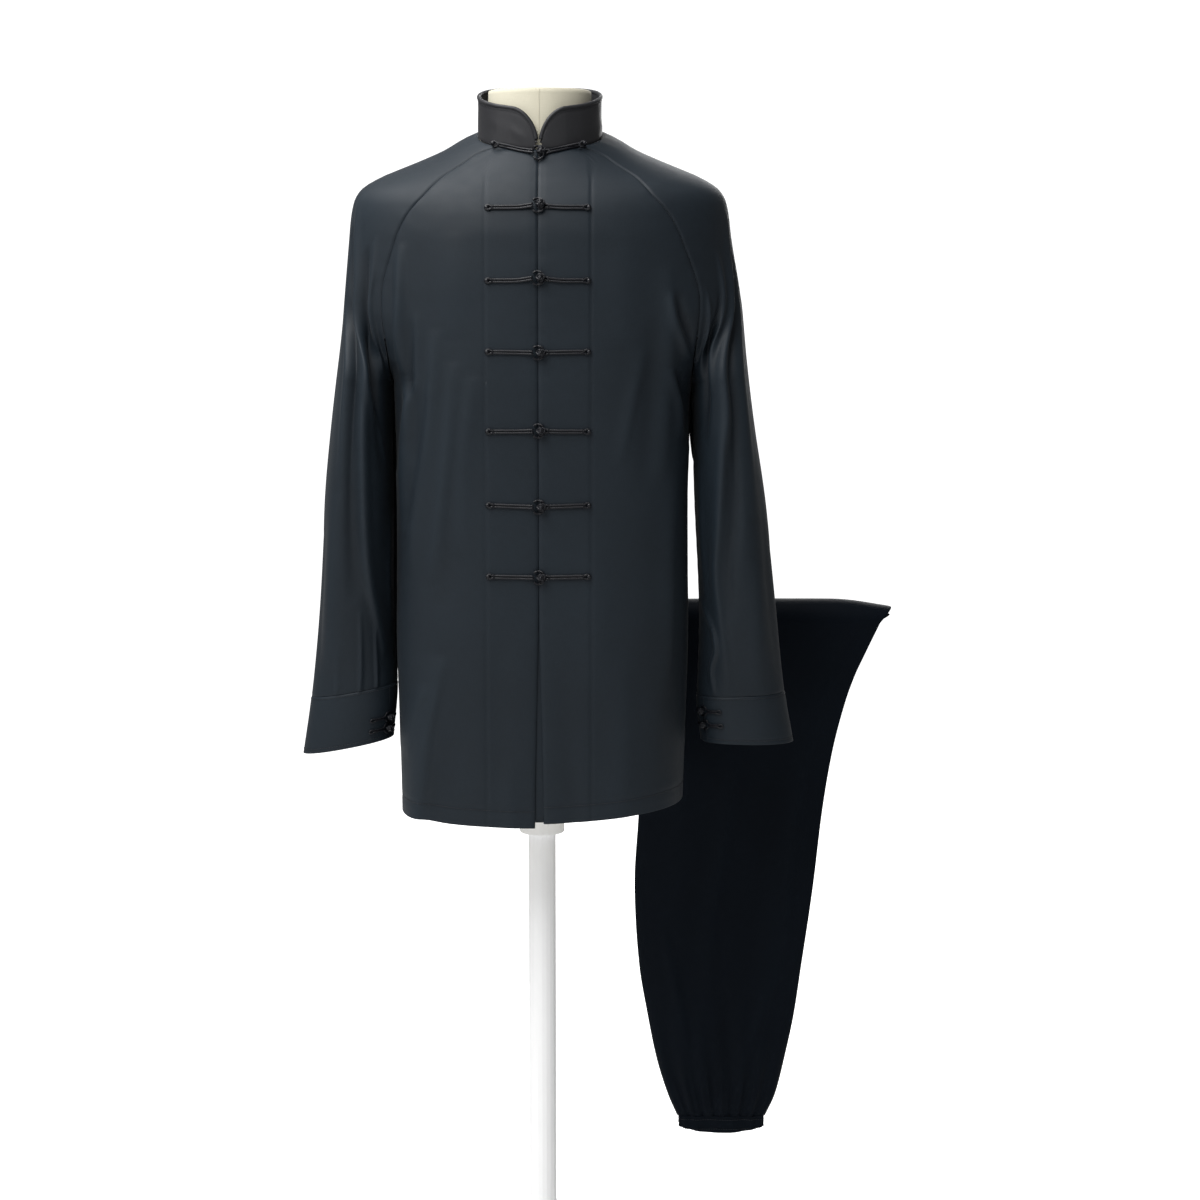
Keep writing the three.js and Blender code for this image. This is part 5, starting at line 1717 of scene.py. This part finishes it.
@dataclass
class Frogs:
    """The seven frogs down the front and the two on each cuff."""

    rows: tuple[tuple[float, float, float, float], ...] = (
        (1302, 53, 13, 0),
        (1244, 58, 0, 2),
        (1166, 58, 0, 3),
        (1085, 58, 1, 0),
        (1000, 58, 0, 1),
        (916, 58, 2, 0),
        (838, 58, 1, 0),
    )
    cord: float = 2.6
    spread: float = 1.4
    lift: float = 0.2
    knot_start: float = 5.2
    loop_start: float = 12.5
    knot_band: float = 10.4
    loop_band: float = 11.6
    end_band: float = 8.5
    band_thread: float = 0.32
    knot: KnotBall = field(default_factory=lambda: KnotBall(5.9, 2.3))
    loop_radius: float = 7.4
    end_ball: float = 2.5
    cuff_bar: float = 25.0
    cuff_cord: float = 2.0
    cuff_knot: KnotBall = field(default_factory=lambda: KnotBall(4.3, 1.7))
    cuff_loop_radius: float = 5.6
    cuff_knot_start: float = 4.2
    cuff_loop_start: float = 8.8

    def front_point(self, trees: dict[str, BVHTree], x: float, z: float) -> tuple[Array, Array]:
        """The point of a front that lies behind a place of the picture plane.

        Args:
            trees: Search trees of the two fronts.
            x: Distance from the middle, to the wearer's left.
            z: Height.

        Returns:
            The point and the normal, away from the cloth.
        """
        reach = max(abs(x), 1.2)
        side = LEFT if x > 0 else RIGHT
        origin = Vector((side.sign * reach, -400, z))
        hit, normal, _, _ = trees[side.name].ray_cast(origin, Vector((0, 1, 0)))
        if hit is None:
            hit, normal, _, _ = trees[side.name].find_nearest(Vector((x, -60, z)))
        flip = -1 if normal.y > 0 else 1
        return np.array((x, hit.y, z)), np.array(normal) * flip

    def lay(self, trees: dict[str, BVHTree], places: Array, lifts: Array) -> Array:
        """Lays a line on the fronts.

        Args:
            trees: Search trees of the two fronts.
            places: Its places, as x and height.
            lifts: How far each one lies off the cloth.

        Returns:
            Its points.
        """
        laid = []
        for (x, z), lift in zip(places, lifts):
            point, normal = self.front_point(trees, float(x), float(z))
            laid.append(point + normal * lift)
        return np.array(laid)

    def spot(self, trees: dict[str, BVHTree], row: tuple, x: float) -> tuple[Array, Array]:
        """The point and normal of the cloth under a frog's bar, at a distance from the middle."""
        return self.front_point(trees, x, float(self.row_height(row, np.array(x))))

    @staticmethod
    def row_height(row: tuple[float, ...], x: Array) -> Array:
        """Height of a frog's bar at distances from the middle."""
        height, reach, rise, lift = row
        return height - lift + rise * np.abs(x) / reach + lift * bell(x, 14)

    def bar(self, reach: float, start: float, spread: float, cord: float) -> Array:
        """A doubled cord with its end curled back, as places along and across the bar."""
        end = reach - cord / 2
        upper = [(start, spread), (mix(start, end, 0.3), spread * 0.98), (mix(start, end, 0.62), spread)]
        curl = [(end - 6.5, spread), (end - 3.6, spread * 1.75), (end - 0.9, spread * 1.25), (end, 0)]
        half = np.array(upper + curl)
        return np.concatenate([half, (half * (1, -1))[-2::-1]])

    def ring(self, radius: float, mouth: float, neck: float) -> Array:
        """The upper side of a loop from its mouth to its neck, as places along and across."""
        angles = np.radians(np.linspace(180 - mouth, neck, 7))
        return np.stack([np.cos(angles), np.sin(angles)], axis=1) * radius

    def front_frog(self, i: int, row: tuple, trees: dict[str, BVHTree], finish: Material) -> None:
        """Makes both halves of one frog.

        Args:
            i: Its number, from the collar down.
            row: Its height, reach, rise and the lift of its knot.
            trees: Search trees of the two fronts.
            finish: The cord's material.
        """
        half, reach = self.cord / 2, row[1]
        bar = self.bar(reach, self.knot_start, self.spread, self.cord)
        x = -bar[:, 0]
        places = np.stack([x, self.row_height(row, x) + bar[:, 1]], axis=1)
        lifts = half + self.lift + 2.0 * bell(bar[:, 0] - self.knot_start, 3)
        line = spline(self.lay(trees, places, lifts), 6)
        middle, out = self.spot(trees, row, 0.0)
        centre = middle + out * (self.knot.radius + SEAM_GAP)
        parts = [tube_mesh(line, half, 8), self.knot.mesh(centre, out), self.end_knob(trees, row, -1)]
        parts += [self.binding_band(trees, row, -x) for x in (self.knot_band, reach - self.end_band)]
        self.piece(f"front_frog_{i}_knot_half", parts, finish, f"frog_knot_{i}")
        ring = self.ring(self.loop_radius, 46, 20)
        tail = self.bar(reach, self.loop_start, self.spread, self.cord)
        path = np.concatenate([ring, tail, (ring * (1, -1))[::-1]])
        places = np.stack([path[:, 0], self.row_height(row, path[:, 0]) + path[:, 1]], axis=1)
        rise = 2.2 * bell(np.hypot(path[:, 0], path[:, 1]) - self.loop_radius, 2.5) * (path[:, 0] < 6)
        line = spline(self.lay(trees, places, half + self.lift + rise * 0.5), 5)
        parts = [tube_mesh(line, half, 8), self.end_knob(trees, row, 1)]
        parts += [self.binding_band(trees, row, x) for x in (self.loop_band, reach - self.end_band)]
        self.piece(f"front_frog_{i}_loop_half", parts, finish, f"frog_loop_{i}")

    def end_knob(self, trees: dict[str, BVHTree], row: tuple, sign: int) -> tuple:
        """The turned-in end of the cord that fills the eye at the end of a bar."""
        middle, out = self.spot(trees, row, sign * (row[1] - self.end_ball))
        return ball_mesh(middle + out * (self.cord / 2 + self.lift), self.end_ball)

    def binding_band(self, trees: dict[str, BVHTree], row: tuple, x: float) -> tuple:
        """The few turns of thread that hold the two cords of a bar together."""
        angle = np.linspace(0, 2 * np.pi, 14, endpoint=False)
        wide, high = self.spread + self.cord / 2 + 0.22, self.cord / 2 + 0.25
        middle, out = self.spot(trees, row, x)
        centre = middle + out * (self.cord / 2 + self.lift)
        along = np.array([1.0, 0, 0]) - out * out[0]
        across = np.cross(out, along)
        ring = across * (np.cos(angle) * wide)[:, None] + out * (np.sin(angle) * high)[:, None]
        turns = [centre + along * step + ring for step in (-0.6, 0, 0.6)]
        return join_meshes([tube_mesh(turn, self.band_thread, 5, closed=True) for turn in turns])

    @staticmethod
    def piece(name: str, parts: Sequence[tuple], finish: Material, node: str) -> None:
        """Joins the parts of one half of a frog and hides the solid that it stands for."""
        points, faces, uv = join_meshes(parts)
        stamp(make_object(name, points, faces, finish, uv), "cord", node)

    def cuff_frog(self, i: int, side: Side, cuff: Cloth, finish: Material) -> None:
        """Makes both halves of one frog on a cuff.

        Args:
            i: Its number, from the top.
            side: The wearer's right or left.
            cuff: The cuff.
            finish: The cord's material.
        """
        rows, columns = cuff.grid.shape[:2]
        level = side.frog_levels[i - 1]
        share = (CUFF_SEAM - level) / (CUFF_SEAM - CUFF_END)
        depth = Cloth.distances(cuff.grid, "top").mean(1)
        row = float(np.interp(share * depth[-1], depth, np.arange(rows)))
        run = run_lengths(cuff.grid, 1)[int(round(row))]

        def place(s: Array, t: Array, lift: Array | float) -> Array:
            at = np.where(s >= 0, s, run[-1] + s)
            column = np.interp(at, run, np.arange(columns))
            point, normal = cuff.at(np.full(len(s), row), column)
            return point + normal * np.asarray(lift, float).reshape(-1, 1) + t[:, None] * (0, 0, 1)

        half = self.cuff_cord / 2
        bar = self.bar(self.cuff_bar * 0.7, self.cuff_knot_start, half * 1.05, self.cuff_cord)
        lift = half + 0.15 + 1.6 * bell(bar[:, 0] - self.cuff_knot_start, 2)
        line = spline(place(-bar[:, 0], bar[:, 1], lift), 5)
        base = place(np.array([0.4]), np.zeros(1), 0.0)[0]
        normal = cuff.at(np.array([row]), np.array([1.0]))[1][0]
        ball = self.cuff_knot.mesh(base + normal * (self.cuff_knot.radius + SEAM_GAP), normal, 96, 6)
        name = f"{side.name}_cuff_frog_{i}"
        parts = [tube_mesh(line, half, 7), ball]
        self.piece(f"{name}_knot_half", parts, finish, f"cuff_knot_{side.name}_{i}")
        ring = self.ring(self.cuff_loop_radius, 50, 22)
        tail = self.bar(self.cuff_bar, self.cuff_loop_start, half * 1.05, self.cuff_cord)
        path = np.concatenate([ring, tail, (ring * (1, -1))[::-1]])
        line = spline(place(path[:, 0], path[:, 1], half + 0.3), 5)
        self.piece(f"{name}_loop_half", [tube_mesh(line, half, 7)], finish, f"cuff_loop_{side.name}_{i}")

    def build(
        self,
        fronts: dict[str, Cloth],
        sleeves: dict[str, Cloth],
        cuffs: dict[str, Cloth],
        finish: Material,
    ) -> None:
        """Makes all the frogs.

        Args:
            fronts: The fronts by side.
            sleeves: The sleeves by side, on which the ends of the top frog lie.
            cuffs: The cuffs by side.
            finish: The cord's material.
        """
        trees = {name: search_tree([cloth, sleeves[name]]) for name, cloth in fronts.items()}
        for i, row in enumerate(self.rows, 1):
            self.front_frog(i, row, trees, finish)
        for side in (RIGHT, LEFT):
            for i in (1, 2):
                self.cuff_frog(i, side, cuffs[side.name], finish)


@dataclass
class DressForm:
    """The limbless form under the jacket, covered in linen."""

    columns: int = 96
    cap_steps: tuple[tuple[float, float], ...] = ((0.03, 0.9), (0.08, 1.2), (0.5, 1.3))
    neck: tuple[tuple[float, ...], ...] = (
        (1377, 58, 52, 54, 0.02),
        (1364, 58.5, 53, 55, 0.12),
        (1349, 60, 54, 57, 0.26),
        (1336, 62.5, 55, 59, 0.32),
        (1327, 65, 57, 61, 0.32),
    )
    shoulder_levels: tuple[float, ...] = (1320, 1307, 1295, 1283, 1270, 1252)
    torso: tuple[tuple[float, ...], ...] = (
        (1218, 184, 99, 113, 2.25),
        (1180, 170, 103, 115, 2.3),
        (1130, 160, 104, 114, 2.4),
        (1070, 154, 102, 109, 2.4),
        (1000, 147, 96, 101, 2.4),
        (930, 142, 92, 96, 2.4),
        (850, 145, 95, 100, 2.4),
        (760, 151, 100, 107, 2.5),
        (680, 153, 103, 111, 2.5),
        (620, 151, 102, 109, 2.5),
        (574, 148, 99, 106, 2.5),
    )
    under_cloth: float = 2.4
    seam_radius: float = 0.45
    chest_ease: float = 7.0

    def rows(self) -> Array:
        """Half width, front, back, roundness, height and tilt of each section, from the top down."""
        rows = [(w, f, b, 2.0, level, tilt) for level, w, f, b, tilt in self.neck]
        for level in self.shoulder_levels:
            slope = float(SHOULDER.half_width(level - 1) - SHOULDER.half_width(level + 1))
            size = math.hypot(2, slope)
            rows.append(
                (
                    float(SHOULDER.half_width(level)) - 2 / size * self.under_cloth,
                    float(SHOULDER.front(level)) - self.chest_ease,
                    float(SHOULDER.back(level)) - self.chest_ease,
                    SHOULDER_ROUNDNESS,
                    level - slope / size * self.under_cloth,
                    float(SHOULDER.tilt(level)),
                )
            )
        rows += [(w, f, b, power, level, 0.0) for level, w, f, b, power in self.torso]
        return np.array(rows)

    def build(self, finish: Material, thread: Material) -> None:
        """Makes the form.

        Args:
            finish: The linen.
            thread: The finish of its seams.
        """
        coarse = self.rows()
        place = np.arange(len(coarse))
        fine = fill_in(place, 0.25)
        half_width, front, back, power, level, tilt = (np.interp(fine, place, c)[:, None] for c in coarse.T)
        turn = np.linspace(0, 2 * np.pi, self.columns, endpoint=False)[None]
        depth = np.where(np.cos(turn) > 0, front, back)
        x, forward = squared_ellipse(turn, half_width, depth, power)
        rings = np.stack([x, -forward, level - tilt * forward], axis=-1)
        caps = [
            np.array([mix(ring, ring.mean(0), s) + (0, 0, way * lift) for s, lift in self.cap_steps])
            for ring, way in ((rings[0], 1.0), (rings[-1], -1.0))
        ]
        rings = np.concatenate([caps[0][::-1], rings, caps[1]])
        points = rings.reshape(-1, 3)
        faces = quads(len(rings), self.columns, 0, True, wrap=True)
        last = (len(rings) - 1) * self.columns
        faces += [list(range(self.columns)), [last + j for j in range(self.columns)][::-1]]
        uv = np.stack([run_lengths(rings, 1), run_lengths(rings, 0)], axis=-1).reshape(-1, 2) * MM
        stamp(make_object("form_cover", points, faces, finish, uv), "linen", "form_torso")
        for j, name in ((0, "front"), (self.columns // 2, "back")):
            edge = len(self.cap_steps)
            seam = rings[edge:-edge, j] + (0, 0.1 if j else -0.1, 0)
            points, faces, uv = tube_mesh(seam, self.seam_radius, 6)
            stamp(make_object(f"form_{name}_seam", points, faces, thread, uv), "linen")


# Paths on the folded legs: distance from the middle of the jacket, and height
NEAR_CREASES = folds(
    (((250, 745), (235, 560), (205, 330), (200, 160)), 14, 2.2, 0.6),
    (((330, 735), (292, 560), (262, 380), (250, 170)), 18, -2.0),
    (((180, 720), (170, 520), (160, 330)), 16, 1.6),
    (((372, 742), (340, 640), (312, 500), (298, 300)), 9, 2.2, 0.5),
    (((392, 748), (352, 690), (322, 600)), 7, -1.4),
    (((300, 330), (262, 240), (244, 150)), 9, 2.6, 0.6),
    (((145, 380), (172, 250), (190, 150)), 9, 2.4, 0.6),
    (((225, 300), (222, 220), (214, 150)), 8, -2.2),
)
FAR_CREASES = folds(
    (((260, 700), (240, 480), (215, 260)), 16, 2.2, 0.6),
    (((180, 690), (190, 500), (185, 300)), 18, -2.0),
    (((330, 690), (300, 520), (280, 340)), 14, 1.8),
)


@dataclass
class Trousers:
    """The trousers: two legs folded over the rod, their ankle casings and the waist casing."""

    station_step: float = 6.0
    outer_columns: int = 80
    inner_columns: int = 30
    wall: float = 1.1
    tip: float = 126.0
    ankle: float = 200.0
    seat_levels: tuple[float, float] = (746, 528.3)
    broad_folds: tuple[float, float] = (300, 150)
    fine_folds: tuple[float, float] = (205, 70)

    def stations(self) -> Array:
        """Bend, height, left, right and fullness of each section, up the front and down the back."""
        front = fill_in((self.tip, self.ankle, ROD_Z), self.station_step)[:-1]
        bends = np.linspace(-90, 90, 31)
        back = fill_in(self.seat_levels, self.station_step)
        rows = [(-90, z, LEG_FRONT.left(z), LEG_FRONT.right(z), LEG_FRONT.fullness(z)) for z in front]
        for bend in bends:
            edge = LEG_FRONT if bend < 0 else SEAT_BACK
            right = mix(edge.right(ROD_Z), CREST_RIGHT, math.cos(math.radians(bend)))
            rows.append((bend, ROD_Z, CREST_LEFT, right, 1))
        rows += [(90, z, SEAT_BACK.left(z), SEAT_BACK.right(z), 1) for z in back]
        return np.array(rows, float)

    def gathers(self, share: Array, level: Array) -> Array:
        """How the fullness of a leg stands in folds above the ankle, as a factor."""
        deep, close = (smooth((start - level) / run) for start, run in (self.broad_folds, self.fine_folds))
        broad = 0.2 * deep * np.cos(6.5 * np.pi * share)
        fine = 0.13 * close * np.cos(15 * np.pi * share + 2.2 * np.sin(4 * share))
        return 1 + broad + fine

    def leg(self, name: str, face: float, direction: int, inset: float, creases: Sequence[Crease]) -> Cloth:
        """Shapes one folded leg with its half of the seat.

        Args:
            name: Its name.
            face: Distance of its flat side from the middle of the rod.
            direction: 1 if it lies outside that side, -1 if inside.
            inset: How much narrower it is at each edge.
            creases: Its folds.

        Returns:
            The leg.
        """
        bend, level, left, right, full = (c[:, None] for c in self.stations().T)
        outer = np.sin(np.linspace(-np.pi / 2, np.pi / 2, self.outer_columns))
        inner = np.sin(np.linspace(np.pi / 2, -np.pi / 2, self.inner_columns + 2))[1:-1]
        share = np.concatenate([outer, inner, outer[:1]])[None]
        layer = np.concatenate([np.ones(len(outer)), -np.ones(len(inner)), [1.0]])[None]
        is_leg = bend == -90
        rounded = np.sqrt(np.clip(1 - np.abs(share) ** 4, 0, 1))
        waved = np.where(is_leg & (layer > 0), self.gathers(share, level), 1)
        x = mix(left + inset, right - inset, (share + 1) / 2)
        thick = LEG_THICKNESS * np.where(is_leg, full, 1)
        depth = thick * np.where(layer > 0, 0.5 + 0.5 * rounded * waved, 0.5 - 0.5 * rounded)
        stand = relief(creases, x, level + 0 * x) * rounded * (layer > 0) * np.where(is_leg, 1, 0)
        distance = face + direction * (depth + stand)
        turn = np.radians(bend)
        droop = np.where(np.abs(bend) < 90, CREST_DROOP * smooth((x - DROOP_START) / DROOP_RUN) ** 1.5, 0)
        y = ROD_Y + distance * np.sin(turn)
        z = level + (distance - droop) * np.cos(turn)
        cloth = Cloth(name, np.stack([x, y, z], axis=-1)[::-1], 0.0, wall=self.wall)
        # The relief sets the crest for the finish's painted highlight and painted shade on the leg's folds
        cloth.relief = (stand + 0 * x)[::-1]
        return cloth

    @staticmethod
    def casing(
        name: str,
        x_range: tuple,
        y_range: tuple,
        levels: tuple,
        waves: int,
        depth: float,
        sag: float,
        seed: int,
    ) -> Cloth:
        """Shapes a gathered casing with elastic in it.

        Args:
            name: Its name.
            x_range: Its left and right end.
            y_range: Its two faces.
            levels: Its bottom and top.
            waves: Number of gathers round it.
            depth: How deep they are.
            sag: How far its ends lift at the bottom.
            seed: Start of its chance values.

        Returns:
            The casing.
        """
        count = waves * 18
        turn = np.linspace(0, 2 * np.pi, count + 1)[None]
        rng = np.random.default_rng(seed)
        swing = rng.uniform(-0.35, 0.35, waves)
        strength = rng.uniform(0.6, 1.0, waves + 1)
        phase = waves * turn + np.interp(turn, np.linspace(0, 2 * np.pi, waves), swing)
        amount = np.interp(turn, np.linspace(0, 2 * np.pi, waves + 1), strength)
        share = fill_in((1.0, 0.0), 0.04)[:, None]
        nip = 0.35 * sum(bell(share - place, 0.07) for place in CASING_STITCHES)
        inward = depth * amount * (1 - np.cos(phase + 0.5 * share)) / 2 + depth * 0.5 * nip
        half = ((x_range[1] - x_range[0]) / 2, abs(y_range[1] - y_range[0]) / 2)
        x = (half[0] - inward * 0.3) * power_of(np.cos(turn), 0.6)
        y = (half[1] - inward) * power_of(np.sin(turn), 0.6)
        z = mix(levels[0] + sag * (x / half[0]) ** 2, levels[1], share)
        grid = np.stack([sum(x_range) / 2 + x, sum(y_range) / 2 + y, z + 0 * x], axis=-1)
        return Cloth(name, grid, 0.0, wall=1.4)

    def build(self, finishes: dict[str, Material]) -> None:
        """Makes the trousers.

        Args:
            finishes: The materials by name.
        """
        far_inner = ROD_RADIUS + 2 * SEAM_GAP
        far_outer = far_inner + LEG_THICKNESS
        near_inner = far_outer + SEAM_GAP
        cloth, thread = finishes["trousers"], finishes["thread"]
        legs = (
            ("near", near_inner, 1, 0.0, NEAR_CREASES),
            ("far", far_outer, -1, 1.5, FAR_CREASES),
        )
        for name, face, direction, inset, creases in legs:
            leg = self.leg(f"{name}_leg_cloth", face, direction, inset, creases)
            piece = stamp(leg.build(cloth), "trouser_cloth", f"trouser_leg_{name}")
        ankle_depth = LEG_THICKNESS * 1.75
        ankles = (
            ("near", (ROD_Y - near_inner - ankle_depth, ROD_Y - near_inner), 31),
            ("far", (ROD_Y - far_outer, ROD_Y - far_outer + ankle_depth), 37),
        )
        ankle = ((104, 125.7), 13, 2.4, 8.0)
        bands = [
            (f"{name}_ankle_casing", (167, 275), y_range, *ankle, seed, f"ankle_band_{name}")
            for name, y_range, seed in ankles
        ]
        waist_y = (ROD_Y + far_inner, ROD_Y + near_inner + LEG_THICKNESS)
        bands.append(("waist_casing", (131, 326), waist_y, (490, 528), 26, 2.0, 0.0, 41, "waistband"))
        for *sizes, node in bands:
            casing = self.casing(*sizes)
            piece = stamp(casing.build(cloth), "trouser_cloth", node)
            height = sizes[3][1] - sizes[3][0]
            rows = [
                sew(casing, f"{casing.name}_{word}", "top", height * share, thread, "trouser_cloth", 0.15)
                for word, share in zip(("upper", "lower"), CASING_STITCHES)
            ]


@dataclass
class Stand:
    """The painted stand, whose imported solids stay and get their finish."""

    nodes: tuple[str, ...] = ("form_pole", "form_base", "rod_clamp", "trouser_rod")

    def build(self, finish: Material) -> None:
        """Paints the stand.

        Args:
            finish: The paint.
        """
        for name in self.nodes:
            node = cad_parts[name]
            node.data.materials.clear()
            node.data.materials.append(finish)
            log.info("%s: painted", name)


@dataclass
class Studio:
    """The camera, the floor and the lights."""

    eye: tuple[float, float, float] = (0.06785, -2.6, 1.0963)
    pitch: float = 6.5
    lens: float = 67.83
    sensor: float = 36.0
    floor_size: float = 60.0
    floor_glow: float = 1.0
    surround: float = 0.2
    lights: tuple[tuple, ...] = (
        ("Key", (-0.85, -1.6, 2.8), (-0.04, 0.0, 1.14), 1.2, 44),
        ("Fill", (1.6, -2.6, 1.5), (0.1, 0.0, 0.9), 1.2, 4),
        ("Top", (-0.7, -0.2, 2.8), (-0.1, 0.0, 1.2), 1.5, 55),
        ("Side", (-2.4, -0.9, 1.4), (-0.1, 0.0, 0.95), 0.6, 7),
        ("Low", (-0.9, -2.3, 0.3), (0.0, 0.0, 0.25), 0.8, 5),
        ("Rear", (0.6, 2.8, 2.0), (0.1, 0.1, 0.9), 1.6, 40),
    )

    def camera(self) -> None:
        """Stands the camera where the picture was taken."""
        data = bpy.data.cameras.new("Camera")
        data.lens, data.sensor_width = self.lens, self.sensor
        camera = add_object("Camera", data)
        camera.location = self.eye
        camera.rotation_euler = (math.radians(90 - self.pitch), 0, 0)
        bpy.context.scene.camera = camera

    def floor(self) -> None:
        """Lays a plain pale floor."""
        half = self.floor_size / 2
        mesh = bpy.data.meshes.new("Floor")
        corners = [(-half, -half, 0), (half, -half, 0), (half, half, 0), (-half, half, 0)]
        mesh.from_pydata(corners, [], [(0, 1, 2, 3)])
        material = bpy.data.materials.new("FloorWhite")
        material.use_nodes = True
        nodes = Nodes(material.node_tree)
        shader = material.node_tree.nodes["Principled BSDF"]
        shader.inputs["Base Color"].default_value = (0.86, 0.86, 0.86, 1)
        shader.inputs["Roughness"].default_value = 0.9
        shader.inputs["Specular IOR Level"].default_value = 0.1
        shader.inputs["Emission Strength"].default_value = 1.0
        glow = nodes.times(nodes.add("LightPath").outputs["Is Camera Ray"], self.floor_glow)
        nodes.link(glow, shader.inputs["Emission Color"])
        mesh.materials.append(material)
        floor = add_object("Floor", mesh)

    def light(
        self, name: str, place: Sequence[float], target: Sequence[float], size: float, power: float
    ) -> None:
        """Hangs a soft square light.

        Args:
            name: Its name.
            place: Where it hangs, in metres.
            target: The point that it faces.
            size: Its side.
            power: Its power in watts.
        """
        data = bpy.data.lights.new(name, "AREA")
        data.size, data.energy = size, power
        lamp = add_object(name, data)
        lamp.location = place
        lamp.rotation_euler = (Vector(target) - Vector(place)).to_track_quat("-Z", "Y").to_euler()

    def world(self) -> None:
        """Surrounds the object with white, dimmer for its own light than for the eye."""
        world = bpy.data.worlds.new("Surround")
        world.use_nodes = True
        bpy.context.scene.world = world
        nodes = Nodes(world.node_tree)
        background = world.node_tree.nodes["Background"]
        background.inputs["Color"].default_value = (1, 1, 1, 1)
        seen = nodes.times(nodes.add("LightPath").outputs["Is Camera Ray"], 1.2 - self.surround)
        nodes.link(nodes.plus(seen, self.surround), background.inputs["Strength"])

    def build(self) -> None:
        """Sets up the studio."""
        self.camera()
        self.floor()
        self.world()
        for light in self.lights:
            self.light(*light)
        scene = bpy.context.scene
        scene.view_settings.view_transform = "Standard"
        scene.view_settings.look = "None"


def main() -> None:
    """Builds the looks piece by piece."""
    logging.basicConfig(level=logging.INFO, format="%(message)s")
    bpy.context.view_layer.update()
    Studio().build()
    finishes = {name: finish.build() for name, finish in FINISHES.items()}
    fronts = Jacket().build(finishes)
    sleeves, cuffs = Sleeves().build(finishes)
    Collar().build(finishes)
    Frogs().build(fronts, sleeves, cuffs, finishes["cord"])
    Trousers().build(finishes)
    DressForm().build(finishes["linen"], finishes["linen"])
    Stand().build(finishes["paint"])


if __name__ == "__main__":
    main()
